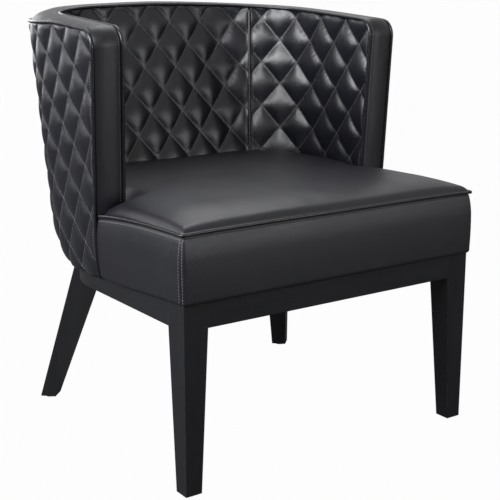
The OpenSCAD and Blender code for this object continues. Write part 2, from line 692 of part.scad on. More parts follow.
// Upright frame in the wall: a post in each arm, posts in the back and a hoop below the rim
ring_top = ring_z + ring_height;
hoop_low = rim_front - tilt_side - 2 * edge_gap - hoop_height;
q_post = 3 - (edge_gap + soft_gap + panel_thick / 2) / arm_run;
// Piece of the frame on one side only, from q0 forward to q1
module side_piece(side, q0, q1, low, high, columns, rows) {
    frame_piece(side > 0 ? q0 : q1, side > 0 ? q1 : q0, low, high, columns, rows, side, side);
}
module arm_post(side) {
    color(plywood) placed()
        side_piece(side, q_post - post_run / arm_run, q_post, ring_top, hoop_low, 1, frame_rows);
}
module back_posts() {
    color(plywood) placed() for (side = [-1, 1], q = back_post_shares)
        side_piece(side, q, q + post_width_share, ring_top, hoop_low, 1, frame_rows);
}
hoop_split_share = 1.2;
hoop_top = hoop_low + hoop_height;
module top_hoop_back() {
    ends = hoop_split_share;
    color(plywood) placed() frame_piece(ends, ends, hoop_low, hoop_top, hoop_columns - 1, 1, -1, 1);
}
module top_hoop_side(side) {
    start = hoop_split_share + soft_gap / corner_high;
    stop = 3 - (arm_corner + edge_gap) / arm_run;
    color(plywood) placed()
        side_piece(side, start, stop, hoop_low, hoop_top, hoop_columns, 1);
}

// Seat
module seat_core() {
    inset = band_thick + soft_gap;
    necks = ring_necks();
    edge_z = seat_welt_z - side_drop;
    color(foam) placed() slab(
        seat_sheet(inset, edge_z, necks, function(x, y) seat_edge(x, y) - edge_gap - 2 * soft_gap),
        seat_sheet(inset, ring_z, necks, function(x, y) ring_z + soft_gap));
}
module seat_cushion() {
    edge_z = seat_welt_z - side_drop;
    necks = wall_necks(edge_z);
    color(leather_black) placed() slab(
        seat_sheet(cushion_inset, edge_z, necks, function(x, y) seat_top(x, y)),
        seat_sheet(cushion_inset, edge_z, necks, function(x, y) seat_edge(x, y) - edge_gap + soft_gap));
}
module seat_band_front() {
    color(leather_black) placed() front_band();
}
module seat_band(side) {
    color(leather_black) placed() side_band(side);
}
module seat_welt() {
    color(leather_edge) placed() seat_cord();
}

// Back and arms
module inner_back() {
    color(leather_black) placed() inner_panel(0);
}
module inner_wing(side) {
    color(leather_black) placed() inner_panel(side);
}
module outer_back() {
    color(leather_black) placed() outer_panel(0);
}
module outer_side(side) {
    color(leather_black) placed() outer_panel(side);
}
function band_crown(q) = mix(back_crown, border_crown, arm_form(q));
module border_band() {
    rows = both_sides(rim_rows(rim_front - border_lower));
    edge_share = edge_gap / wall;
    lift_shares = [0, 0.65, 1, 0.65, 0];
    top_shares = [for (k = [0:4]) mix(edge_share, 1 - edge_share, k / 4)];
    color(leather_black) placed() swept([for (row = rows) concat(
        [for (k = [0:4]) rim_pt(row, top_shares[k], band_crown(row[1]) * lift_shares[k])],
        [for (k = [4, 0]) rim_pt(row, top_shares[k], -border_thick)])]);
}
module rim_cord(across, lower) {
    rows = both_sides(rim_rows(rim_front - lower));
    swept(cord_rings([for (row = rows) rim_pt(row, across, 0)],
        [for (row = rows) rim_side(row)],
        [for (row = rows) [0, -cos(row[3]), sin(row[3])]]));
}
module inner_welt() {
    color(leather_edge) placed() rim_cord(1, border_lower + 2 * welt_r + seat_crown);
}
module outer_welt() {
    color(leather_edge) placed() rim_cord(0, shell_bottom + tilt_side);
}
module back_seam(side) {
    steps = 8;
    top = rim_in(seam_q(rim_back)) - edge_gap - welt_r;
    levels = [for (k = [0:steps]) mix(inner_lower, top, k / steps)];
    color(leather_edge) placed() swept(cord_rings(
        [for (z = levels) mirrored(wall_pt(seam_q(z), z, wall - hem_depth), side)],
        [for (z = levels) mirrored(wall_out(seam_q(z)), side)],
        [for (z = levels) let(o = wall_out(seam_q(z))) mirrored([-o[1], o[0], 0], side)]));
}

front_leg(-1);  // front_leg_left
front_leg(1);  // front_leg_right
rear_leg(-1);  // rear_leg_left
rear_leg(1);  // rear_leg_right
foot_glides();
front_rail();
side_rail(-1);  // side_rail_left
side_rail(1);  // side_rail_right
rear_rail();
front_corner_blocks();
rear_corner_blocks();
leg_bolts();
seat_panel();
base_ring();
arm_post(-1);  // arm_post_left
arm_post(1);  // arm_post_right
back_posts();
top_hoop_side(-1);  // top_hoop_left
top_hoop_back();
top_hoop_side(1);  // top_hoop_right
dust_cover();
seat_core();
seat_cushion();
seat_band_front();
seat_band(-1);  // seat_band_left
seat_band(1);  // seat_band_right
seat_welt();
inner_back();
inner_wing(-1);  // inner_wing_left
inner_wing(1);  // inner_wing_right
outer_back();
outer_side(-1);  // outer_side_left
outer_side(1);  // outer_side_right
border_band();
inner_welt();
outer_welt();
back_seam(-1);  // back_seam_left
back_seam(1);  // back_seam_right
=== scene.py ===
import math

import bpy
import numpy as np
from bpy.props import FloatProperty, FloatVectorProperty, IntProperty, PointerProperty
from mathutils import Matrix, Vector


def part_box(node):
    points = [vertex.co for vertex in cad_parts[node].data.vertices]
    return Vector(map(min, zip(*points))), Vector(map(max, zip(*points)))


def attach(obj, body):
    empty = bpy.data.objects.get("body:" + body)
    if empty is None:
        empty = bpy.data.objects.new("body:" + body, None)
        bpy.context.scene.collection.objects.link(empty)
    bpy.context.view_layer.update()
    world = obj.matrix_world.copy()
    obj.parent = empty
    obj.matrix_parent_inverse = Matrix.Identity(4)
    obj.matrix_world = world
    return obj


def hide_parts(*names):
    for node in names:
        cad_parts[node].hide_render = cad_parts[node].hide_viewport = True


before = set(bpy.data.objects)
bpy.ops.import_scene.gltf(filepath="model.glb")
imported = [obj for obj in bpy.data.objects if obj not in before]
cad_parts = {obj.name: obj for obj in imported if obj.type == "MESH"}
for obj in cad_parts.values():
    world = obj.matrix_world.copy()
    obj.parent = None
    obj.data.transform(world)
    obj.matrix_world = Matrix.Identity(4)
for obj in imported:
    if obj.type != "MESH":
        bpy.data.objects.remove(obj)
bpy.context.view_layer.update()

bl_info = {
    "name": "Quilted tub chair",
    "version": (1, 0, 0),
    "blender": (4, 5, 0),
    "location": "3D View > Sidebar > Chair",
    "description": "Upholsters the frame of a quilted tub chair and sets it in a studio",
    "category": "Object",
}

BODY = "root"
MM = 0.001
# The front rail's face is the zero from which the chair's depth is measured
FRONT_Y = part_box("front_rail")[0].y
# Upper edge of the rails, and half of the width that the backs of the side bands stay outside of
RAIL_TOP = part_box("front_rail")[1].z
RAIL_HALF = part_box("side_rail_right")[1].x + 0.2 * MM
# Outer corner radius of the rails at the rear
RAIL_CORNER = 0.185
# The cords of the back's seams are thinner than the welts by this share
SEAM_SHARE = 0.8
# How far a panel's edge lies below the plain wall, and the run over which it rolls down to it
EDGE_SINK = 0.0014
EDGE_ROLL = 0.009
# Depth and half width of the valley that a row of topstitching pulls into a cover
ROW_DEPTH = 0.0007
ROW_HALF = 0.0013
# How much the diamonds differ in height, and how far each leans to one side
UNEVEN = 0.16
LEAN = 0.4
# Half width of the groove along a seam of the quilting, and of the painted shade laid along it
GROOVE = 0.0015
# First crossing and the two steps of the quilting outside: on the arms and on the back
SIDE_LATTICE = (0.3815, 0.6548), (-0.0393, -0.0326), (0.0265, -0.0515)
REAR_LATTICE = (0, 0.6548), (0.0329, 0.0421), (0.0329, -0.0421)
# Run over which the seat's top sinks towards the back, and how far its edge is pressed down there
REAR_RUN = 0.085
PRESSED = 0.004
# Depth and run of the soft fall of the seat's bands towards the welt and towards the corner seam
HEAD_FALL = 0.0040, 0.040
END_FALL = 0.0016, 0.05
# Depth and run of the round edges of the bands at the foot, under the welt and at the corner seam
FOOT_EDGE = 0.0030, 0.005
HEAD_EDGE = 0.0030, 0.0042
END_EDGE = 0.0018, 0.0035
# Depth and half width of the valley along the bands' topstitching, which is nearer at the corners
BAND_ROW = 0.0005, 0.0012
CORNER_ROW = 0.7


def length(name, description, default):
    """A size in metres for one of the property groups."""
    return FloatProperty(name=name, description=description, default=default, unit="LENGTH", precision=4)


def tint(name, description, default):
    """A linear colour for one of the property groups."""
    return FloatVectorProperty(name=name, description=description, default=default, size=3,
                               min=0, max=1, subtype="COLOR")


def share(name, description, default):
    """A plain number without a unit."""
    return FloatProperty(name=name, description=description, default=default)


class ShellSizes(bpy.types.PropertyGroup):
    """Sizes of the padded wall that forms the back and arms"""
    wall: length("Wall", "Thickness of the padded wall between its welts", 0.056)
    arm_low: length("Half width at the seat", "Half of the outer width at the seat", 0.3214)
    arm_high: length("Half width at the rim", "Half of the outer width at the rim", 0.3254)
    back_low: length("Depth at the seat", "From the front rail to the outside of the back", 0.5788)
    back_high: length("Depth at the rim", "From the front rail to the outside of the back", 0.663)
    corner_low: length("Corner at the seat", "Outer corner radius at the seat", 0.1841)
    corner_high: length("Corner at the rim", "Outer corner radius at the rim", 0.2225)
    arm_front_low: length("Arm front at the seat", "Behind the front rail", 0.2577)
    arm_front_high: length("Arm front at the rim", "Behind the front rail", 0.240)
    rim_back: length("Rim at the back", "Height of the inner welt in the middle of the back", 0.764)
    rim_front: length("Rim at the arms", "Height of the inner welt at the front of the arms", 0.7365)
    rim_power: share("Rim fall", "How late along the rim its height falls", 1.5)
    arm_corner: length("Arm corner", "Corner radius of an arm seen from the side", 0.029)
    tilt_back: length("Tilt at the back", "Drop of the outer welt below the inner one", 0.015)
    tilt_side: length("Tilt at the arms", "Drop of the outer welt below the inner one", 0.003)
    tilt_start: share("Tilt start", "Place round the corner where the tilt starts to fade", 1.5)
    tilt_end: share("Tilt end", "Place along the arm where the tilt has faded", 2.4)
    bottom: length("Lower edge", "Height of the wall's lower edge", 0.312)
    tuck_depth: length("Curl", "How far the lower edge curls in", 0.034)
    tuck_span: length("Curl height", "Height over which the lower edge curls in", 0.095)
    tuck_side: share("Curl of the arms", "Curl of the arms as a share of the back's", 0.25)


class QuiltSizes(bpy.types.PropertyGroup):
    """Sizes of the diamond quilting"""
    thick: length("Panel thickness", "Thickness of a quilted panel", 0.012)
    lap: length("Lap thickness", "Thickness of a panel where it laps over the rail", 0.004)
    puff: length("Puff", "Height of an inner diamond above its seams", 0.0068)
    puff_outer: length("Outer puff", "Height of an outer diamond above its seams", 0.0046)
    proud: length("Proud", "Height of an inner diamond above the plain wall", 0.0012)
    proud_outer: length("Outer proud", "Height of an outer diamond above the plain wall", 0.0028)
    half_w: length("Half width, middle", "Half of a diamond's width on the middle panel", 0.0367)
    half_h: length("Half height, middle", "Half of a diamond's height on the middle panel", 0.0444)
    wing_half_w: length("Half width, wings", "Half of a diamond's width on the wings", 0.0388)
    wing_half_h: length("Half height, wings", "Half of a diamond's height on the wings", 0.0451)
    middle_z: length("Middle row", "Height of a crossing in the middle of the back", 0.6834)
    wing_start: length("Wing start", "First crossing of a wing from its seam", 0.0245)
    wing_z: length("Wing row", "Height of that crossing", 0.6436)
    pucker: length("Pucker", "Height of the small gathers along a seam", 0.00022)
    pucker_pitch: length("Pucker pitch", "Distance between gathers", 0.0075)
    seam_low: length("Seam at the seat", "Distance of the back's seams from the middle", 0.1792)
    seam_high: length("Seam at the rim", "Distance of the back's seams from the middle", 0.222)
    inner_lower: length("Lower edge inside", "Height at which the inner panels end behind the seat", 0.420)
    mesh_step: length("Mesh step", "Distance between the points of a quilted surface", 0.0023)


class SeatSizes(bpy.types.PropertyGroup):
    """Sizes of the seat and its bands"""
    welt_z: length("Welt height", "Height of the seat's welt at the front", 0.4395)
    crown: length("Crown", "Rise of the seat's top above its welt", 0.0255)
    rear_fall: length("Rear fall", "How far the top sinks where it meets the back", 0.005)
    shoulder: length("Shoulder", "Width of the rounded roll along the edge of the top", 0.014)
    roll: length("Roll", "Rise of the top over its roll", 0.009)
    dome: length("Dome", "Run over which the rest of the crown rises", 0.120)
    overhang_low: length("Overhang low", "How far the front overhangs the rail at the bottom", 0.0078)
    overhang_high: length("Overhang high", "How far the front overhangs the rail at the welt", 0.0056)
    half: length("Half width", "Half of the seat's width at its front corners", 0.3115)
    side_drop: length("Side drop", "Drop of the side welt where it meets the arm", 0.016)
    corner_drop: length("Corner drop", "Drop of the welt at the front corners", 0.002)
    swell: length("Swell", "Swell of the bands at mid height", 0.0015)
    corner: length("Corner", "Corner radius of the seat in plan", 0.0075)
    cord_in: length("Cord inset", "Distance of the welt's middle behind the face of the bands", 0.0025)
    arm_pull: share("Arm pull", "Share of the crown that is pulled down in front of the arms", 0.45)
    pull_reach: length("Pull reach", "How far that crease reaches forward and back", 0.045)
    pull_width: length("Pull width", "How far that crease reaches towards the middle", 0.040)
    band: length("Band thickness", "Thickness of the seat's bands", 0.006)
    mesh_step: length("Mesh step", "Distance between the points of the seat's surfaces", 0.004)


class TrimSizes(bpy.types.PropertyGroup):
    """Sizes of the welts, the border band and the thread"""
    welt: length("Welt radius", "Radius of the welts", 0.003)
    soft_gap: length("Gap", "Clearance between soft pieces", 0.0003)
    sewn: length("Sewn edge", "Distance of a sewn edge from the middle of its welt", 0.0022)
    crown_arm: length("Border swell, arms", "Swell of the plain border on the arms", 0.005)
    crown_back: length("Border swell, back", "Swell of the plain border along the back", 0.0105)
    border_thick: length("Border thickness", "Thickness of the plain border at its edges", 0.0025)
    border_lower: length("Border foot", "Height at which the border ends at the seat", 0.426)
    thread: length("Thread", "Radius of the sewing thread", 0.00055)
    stitch: length("Stitch", "Length of a stitch on show", 0.0034)
    stitch_pitch: length("Stitch pitch", "Distance between stitches", 0.0050)
    row_gap: length("Row gap", "Distance of a topstitch row from its seam", 0.0055)


class ClothSizes(bpy.types.PropertyGroup):
    """How the padded covers are simulated as cloth"""
    pressure: share("Pressure", "Pressure of the filling under a cover", 60.0)
    slack: share("Slack", "How much larger a cover is than its place, as a share", 0.003)
    frames: IntProperty(name="Frames", description="Length of the simulation", default=6)
    quilt_cap: length("Cap of the quilting", "Most that a point of the quilting may move", 0.0015)


class FinishColours(bpy.types.PropertyGroup):
    """Colours of the materials"""
    leather: tint("Leather", "Black leather of the seat and panels", (0.0066, 0.0069, 0.0100))
    welt: tint("Welts", "Black leather of the welts", (0.007, 0.007, 0.009))
    # The thread's light grey is partly its own dark colour and partly a painted highlight standing for the
    # glints on the stitches
    thread: tint("Thread", "Sewing thread", (0.20, 0.20, 0.21))
    wood: tint("Wood", "Black paint of the legs and rails", (0.0085, 0.0088, 0.0105))
    # Lighter colour painted along the edges of the legs and rails as a highlight
    edge_highlight: tint("Lighter edge", "Where the paint is highlit at the edges", (0.10, 0.095, 0.09))
    plywood: tint("Plywood", "Raw plywood of the inner frame", (0.46, 0.31, 0.16))
    foam: tint("Foam", "Foam of the seat", (0.78, 0.70, 0.48))
    cloth: tint("Dust cloth", "Non-woven cloth under the seat", (0.012, 0.012, 0.012))
    steel: tint("Steel", "Zinc-plated bolts", (0.55, 0.55, 0.56))
    glide: tint("Glides", "Plastic of the foot glides", (0.03, 0.03, 0.03))


class StageSizes(bpy.types.PropertyGroup):
    """Camera, lights and floor"""
    eye: FloatVectorProperty(name="Eye", description="Place of the camera", size=3, unit="LENGTH",
                             default=(-1.1678, -1.7440, 0.8237))
    turn: FloatProperty(name="Turn", description="Turn of the camera towards the right",
                        default=math.radians(34.88), subtype="ANGLE")
    dip: FloatProperty(name="Dip", description="Downward tilt of the camera",
                       default=math.radians(13.87), subtype="ANGLE")
    lens: share("Lens", "Focal length on a sensor 36 mm wide", 80.56)
    shift: share("Shift", "Sideways shift of the frame", -0.0008)
    floor: tint("Floor", "Colour of the floor", (0.08, 0.08, 0.083))
    sky: tint("Sky", "Light of the room around the chair", (0.03, 0.03, 0.032))
    mirror: share("Mirrored room", "Share of the white room that glossy surfaces show", 0.55)
    floor_mirror: share("Mirrored floor", "Share of the white floor that glossy surfaces show", 0.06)
    white: share("White share", "Share of the floor that the camera sees as plain white", 0.98)


def mix(a, b, t):
    """Straight mix of a and b."""
    return a + (b - a) * t


def ease(t):
    """Smooth step: 3t^2 - 2t^3 on 0 to 1."""
    u = np.clip(t, 0, 1)
    return u * u * (3 - 2 * u)


def quarter(t):
    """Quarter circle that falls from 1 at t = 0 to 0 at t = 1: 1 - sqrt(1 - (1 - t)^2)."""
    u = 1 - np.clip(t, 0, 1)
    return 1 - np.sqrt(np.maximum(0, 1 - u * u))


def scatter(*whole):
    """Number from 0 to 1 for each set of whole numbers, the same in every run (a sine hash)."""
    total = sum(np.asarray(w, float) * k for w, k in zip(whole, (127.1, 311.7, 74.7)))
    return np.modf(np.abs(np.sin(total) * 43758.5453))[0]


def noise(u, v, seed=0):
    """Smooth noise from -1 to 1: random corners of a unit grid, mixed with the smooth step."""
    i, j = np.floor(u), np.floor(v)
    a, b = ease(u - i), ease(v - j)
    low = mix(scatter(i, j, seed), scatter(i + 1, j, seed), a)
    high = mix(scatter(i, j + 1, seed), scatter(i + 1, j + 1, seed), a)
    return 2 * mix(low, high, b) - 1


def steps(run, step, least=2):
    """Number of equal steps of about a given size that fill a run."""
    return max(least, int(round(run / step)))


class Wall:
    """The flared wall of the back and arms: a U in plan whose widths are mixed by height."""

    def __init__(self, scene):
        self.shell, self.quilt, self.seat, self.trim = (
            scene.chair_shell, scene.chair_quilt, scene.chair_seat, scene.chair_trim)
        shell, trim = self.shell, self.trim
        self.edge_gap = trim.welt + trim.soft_gap
        self.tuck_top = shell.bottom - trim.soft_gap + shell.tuck_span
        self.full_tuck = quarter(trim.soft_gap / shell.tuck_span)
        self.rim_length = self.length_at(3.0, shell.rim_back, shell.wall)
        self.arm_run = self.corner_y(shell.rim_front) - self.front(shell.rim_front)

    def rise(self, z):
        return (z - self.seat.welt_z) / (self.shell.rim_back - self.seat.welt_z)

    def tuck(self, z):
        """Inward curl below tuck_top: a quarter circle, 0 at its top and tuck_depth at the edge."""
        share = quarter(1 - (self.tuck_top - z) / self.shell.tuck_span) / self.full_tuck
        return self.shell.tuck_depth * share

    def half_width(self, z):
        shell = self.shell
        return mix(shell.arm_low, shell.arm_high, self.rise(z)) - shell.tuck_side * self.tuck(z)

    def depth(self, z):
        return mix(self.shell.back_low, self.shell.back_high, self.rise(z)) - self.tuck(z)

    def radius(self, z):
        return mix(self.shell.corner_low, self.shell.corner_high, self.rise(z))

    def corner_y(self, z):
        return self.depth(z) - self.radius(z)

    def front(self, z):
        return mix(self.shell.arm_front_low, self.shell.arm_front_high, self.rise(z))

    def runs(self, z, d):
        """Lengths of the flat half, the corner and the arm of the face at depth d."""
        return (self.half_width(z) - self.radius(z), (self.radius(z) - d) * np.pi / 2,
                self.corner_y(z) - self.front(z))

    def place_of(self, s, z, d):
        """Place q of a length s: 0 to 1 on the back, to 2 round the corner, to 3 on the arm."""
        flat, bend, arm = self.runs(z, d)
        a = np.abs(s)
        return np.where(a <= flat, a / flat, np.where(a <= flat + bend, 1 + (a - flat) / bend,
                                                      2 + (a - flat - bend) / arm))

    def length_at(self, q, z, d):
        """Length along the face at a place q."""
        flat, bend, arm = self.runs(z, d)
        return np.minimum(q, 1) * flat + np.clip(q - 1, 0, 1) * bend + np.maximum(q - 2, 0) * arm

    def point(self, s, z, d):
        """Point at signed length s and height z, d inside the outer face: line, arc, line in plan."""
        s, z, d = np.broadcast_arrays(np.asarray(s, float), np.asarray(z, float), np.asarray(d, float))
        flat, bend, _ = self.runs(z, d)
        a = np.abs(s)
        turn = np.clip((a - flat) / (self.radius(z) - d), 0, np.pi / 2)
        x = np.minimum(a, flat) + (self.radius(z) - d) * np.sin(turn)
        y = self.corner_y(z) + (self.radius(z) - d) * np.cos(turn) - np.maximum(0, a - flat - bend)
        return np.stack([np.where(s < 0, -x, x), y + FRONT_Y, z], -1)

    def arm_form(self, q):
        """0 along the back and 1 along the arms, with a smooth step between."""
        return ease((q - self.shell.tilt_start) / (self.shell.tilt_end - self.shell.tilt_start))

    def rim_in(self, q):
        """Height of the inner welt: it falls as a power of the length along the rim."""
        shell = self.shell
        fall = (self.length_at(q, shell.rim_back, shell.wall) / self.rim_length) ** shell.rim_power
        return mix(shell.rim_back, shell.rim_front, fall)

    def rim_out(self, q):
        return self.rim_in(q) - mix(self.shell.tilt_back, self.shell.tilt_side, self.arm_form(q))

    def seam(self, z):
        """Length along the inner face from the middle of the back to its seam."""
        return mix(self.quilt.seam_low, self.quilt.seam_high, self.rise(z))

    def seat_half(self, y, z):
        """Half width of the seat's side at a depth y in front of the arms."""
        return mix(self.seat.half, self.half_width(z), ease(y / self.shell.arm_front_low))

    def side_fall(self, y):
        """Drop of the seat's side edge: the corner's own drop, growing as a cube towards the arms."""
        run = np.clip(np.asarray(y) / self.shell.arm_front_low, 0, 1)
        return mix(self.seat.corner_drop, self.seat.side_drop, run ** 3)

    def rim_path(self, foot, step):
        """Rows [side, q, drop, angle] of the rim, from the left arm's foot to the right arm's.

        The rim runs level, turns down a quarter circle at the arm's front and ends at height foot."""
        shell = self.shell
        corner = shell.arm_corner / self.arm_run
        flat, bend, arm = self.runs(shell.rim_front, 0)
        level = np.concatenate([
            np.linspace(0, 1, steps(flat, step), endpoint=False),
            np.linspace(1, 2, steps(bend, step), endpoint=False),
            np.linspace(2, 3 - corner, steps(arm, step), endpoint=False)])
        turn = np.radians(np.linspace(90, 0, steps(shell.arm_corner * np.pi / 2, step / 2)))
        drop = shell.rim_front - foot
        post = np.linspace(shell.arm_corner, drop, steps(drop, step))[1:]
        q = np.concatenate([level, 3 - corner * (1 - np.cos(turn)), np.full(post.shape, 3.0)])
        fall = np.concatenate([np.zeros(level.shape), shell.arm_corner * (1 - np.sin(turn)), post])
        angle = np.concatenate([np.full(level.shape, np.pi / 2), turn, np.zeros(post.shape)])
        half = np.stack([np.ones(q.shape), q, fall, angle], -1)
        other = half[:0:-1] * (-1, 1, 1, 1)
        return np.concatenate([other, half])

    def rim_point(self, rows, across, lift):
        """Points of the rim: across is 0 at the outer welt and 1 at the inner one, lift is outward."""
        side, q, drop, angle = (column[:, None] for column in rows.T)
        across, lift = np.broadcast_arrays(across, lift)
        z = mix(self.rim_out(q), self.rim_in(q), across) - drop
        d = across * self.shell.wall
        place = self.point(self.length_at(q, z, d), z, d)
        out = np.stack([np.zeros(angle.shape), -np.cos(angle), np.sin(angle)], -1)
        place = place + lift[..., None] * out
        return place * np.stack([side, np.ones(side.shape), np.ones(side.shape)], -1)

    def rim_sides(self, rows):
        """Direction across the rim in plan, pointing out of the chair."""
        turn = np.clip(rows[:, 1] - 1, 0, 1) * np.pi / 2
        return np.stack([rows[:, 0] * np.sin(turn), np.cos(turn), np.zeros(turn.shape)], -1)

    def rim_outs(self, rows):
        """Direction away from the rim: up along the level part and forward on an arm's front."""
        return np.stack([np.zeros(len(rows)), -np.cos(rows[:, 3]), np.sin(rows[:, 3])], -1)


def unit(vectors):
    """Vectors brought to length 1."""
    return vectors / np.maximum(np.linalg.norm(vectors, axis=-1, keepdims=True), 1e-12)


def grid_normals(points):
    """Unit normals of a grid of points, from the cross product of its two differences."""
    return unit(np.cross(np.gradient(points, axis=1), np.gradient(points, axis=0)))


def grid_faces(rows, columns, closed=False):
    """Four-sided faces of a grid; closed joins its last column to its first."""
    index = np.arange(rows * columns).reshape(rows, columns)
    right = np.roll(index, -1, axis=1)
    a, b = index[:-1], right[:-1]
    c, d = right[1:], index[1:]
    if not closed:
        a, b, c, d = a[:, :-1], b[:, :-1], c[:, :-1], d[:, :-1]
    return np.stack([a, b, c, d], -1).reshape(-1, 4)


def outward(points, faces):
    """Turns all faces round if they enclose a negative volume."""
    a, b, c, d = (points[faces[:, k]] for k in range(4))
    volume = np.einsum("ij,ij->", a, np.cross(b, c)) + np.einsum("ij,ij->", a, np.cross(c, d))
    return faces if volume > 0 else faces[:, ::-1]


def put_mesh(name, points, faces, **layers):
    """New smooth object from arrays, with float attributes of its points from layers."""
    mesh = bpy.data.meshes.new(name)
    count = len(faces)
    mesh.vertices.add(len(points))
    mesh.vertices.foreach_set("co", np.asarray(points, np.float32).ravel())
    mesh.loops.add(count * 4)
    mesh.loops.foreach_set("vertex_index", np.asarray(faces, np.int32).ravel())
    mesh.polygons.add(count)
    mesh.polygons.foreach_set("loop_start", np.arange(0, 4 * count, 4, dtype=np.int32))
    mesh.polygons.foreach_set("use_smooth", np.ones(count, bool))
    for layer, values in layers.items():
        values = np.asarray(values, np.float32).ravel()
        mesh.attributes.new(layer, "FLOAT", "POINT").data.foreach_set("value", values)
    mesh.update(calc_edges=True)
    mesh.validate()
    piece = bpy.data.objects.new(name, mesh)
    bpy.context.scene.collection.objects.link(piece)
    return piece


def skin(name, front, back, keep=None, **layers):
    """Closed skin of two grids of the same size, joined by a strip round the faces that keep marks."""
    rows, columns = front.shape[:2]
    faces = grid_faces(rows, columns)
    if keep is not None:
        faces = faces[keep.ravel()]
    edges = np.concatenate([faces[:, [k, (k + 1) % 4]] for k in range(4)])
    _, first, count = np.unique(np.sort(edges, axis=1), axis=0, return_index=True, return_counts=True)
    rim = edges[first[count == 1]]
    size = rows * columns
    strip = np.stack([rim[:, 1], rim[:, 0], rim[:, 0] + size, rim[:, 1] + size], -1)
    points = np.concatenate([front.reshape(-1, 3), back.reshape(-1, 3)])
    faces = np.concatenate([faces, faces[:, ::-1] + size, strip])
    used, faces = np.unique(faces, return_inverse=True)
    points, faces = points[used], faces.reshape(-1, 4)
    doubled = {layer: np.tile(values.ravel(), 2)[used] for layer, values in layers.items()}
    return put_mesh(name, points, outward(points, faces), **doubled)


def tube_mesh(path, across, out, radius, sides):
    """Points and faces of a round cord: circles of a radius across a path, closed at both ends.

    across and out span each circle; the ends close by rings of no radius."""
    turn = np.linspace(0, 2 * np.pi, sides, endpoint=False)[:, None]
    radius = np.broadcast_to(np.asarray(radius, float), (len(path),)).copy()
    path = np.concatenate([path[:1], path, path[-1:]])
    across = np.concatenate([across[:1], across, across[-1:]])
    out = np.concatenate([out[:1], out, out[-1:]])
    radius = np.concatenate([[0], radius, [0]])
    ring = np.cos(turn) * across[:, None] + np.sin(turn) * out[:, None]
    points = path[:, None] + radius[:, None, None] * ring
    points = points.reshape(-1, 3)
    faces = grid_faces(len(path), sides, closed=True)
    return points, outward(points, faces)


def finish_piece(piece, node_names, materials):
    """Dresses a new piece, puts it on the chair's body and hides the nodes it stands for."""
    for material in materials:
        piece.data.materials.append(material)
    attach(piece, BODY)
    if node_names:
        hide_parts(*node_names)
    return piece


class Lattice:
    """Seams of a diamond quilting: origin plus whole numbers of two vectors in the flat panel."""

    def __init__(self, origin, first, second):
        self.origin, self.first, self.second = (np.asarray(v, float) for v in (origin, first, second))
        self.inverse = np.linalg.inv(np.stack([self.first, self.second], -1))
        area = abs(np.linalg.det(np.stack([self.first, self.second])))
        self.lengths = np.linalg.norm(self.first), np.linalg.norm(self.second)
        self.spacing = area / self.lengths[1], area / self.lengths[0]

    def counts(self, u, v):
        """How many steps of each vector lead from the origin to a point of the panel."""
        du, dv = u - self.origin[0], v - self.origin[1]
        return (self.inverse[0, 0] * du + self.inverse[0, 1] * dv,
                self.inverse[1, 0] * du + self.inverse[1, 1] * dv)

    def place(self, p, q):
        return (self.origin[0] + p * self.first[0] + q * self.second[0],
                self.origin[1] + p * self.first[1] + q * self.second[1])

    def relief(self, u, v, sizes, puff):
        """Height of the quilting above its seams, and how close a point is to a seam (1 on it), which sets
        the painted shade in the seams.

        A diamond is the product of two parabolas, one between each pair of seams, made fuller by a
        power of 0.8. Gathers are waves along each seam that die away from it."""
        p, q = self.counts(u, v)
        near_p, near_q = np.abs(p - np.round(p)), np.abs(q - np.round(q))
        cell = np.floor(p), np.floor(q)
        bow = (1 - (1 - 2 * near_p) ** 2) * (1 - (1 - 2 * near_q) ** 2)
        plump = 1 + UNEVEN * (scatter(*cell, 3) - 0.5)
        lean = ((p - cell[0] - 0.5) * (scatter(*cell, 5) - 0.5)
                + (q - cell[1] - 0.5) * (scatter(*cell, 7) - 0.5))
        height = puff * bow ** 0.8 * plump * (1 + LEAN * lean)
        away_p, away_q = near_p * self.spacing[0], near_q * self.spacing[1]
        along_p, along_q = q * self.lengths[1], p * self.lengths[0]
        for along, away, line, other in ((along_p, away_p, np.round(p), near_q),
                                         (along_q, away_q, np.round(q), near_p)):
            drift = along / sizes.pucker_pitch + 0.8 * noise(along / 0.012, line * 3.3, 11)
            strength = 0.5 + 0.5 * noise(along / 0.021, line * 5.1, 13)
            fade = np.exp(-away / 0.009) * (1 - np.exp(-away / GROOVE)) * np.minimum(1, 5 * other)
            height = height + sizes.pucker * 2 * np.sin(2 * np.pi * drift) * strength * fade
        # Closeness to the nearest seam, for the painted shade in it
        nearest = np.minimum(away_p, away_q)
        return height, np.exp(-(nearest / GROOVE) ** 2)


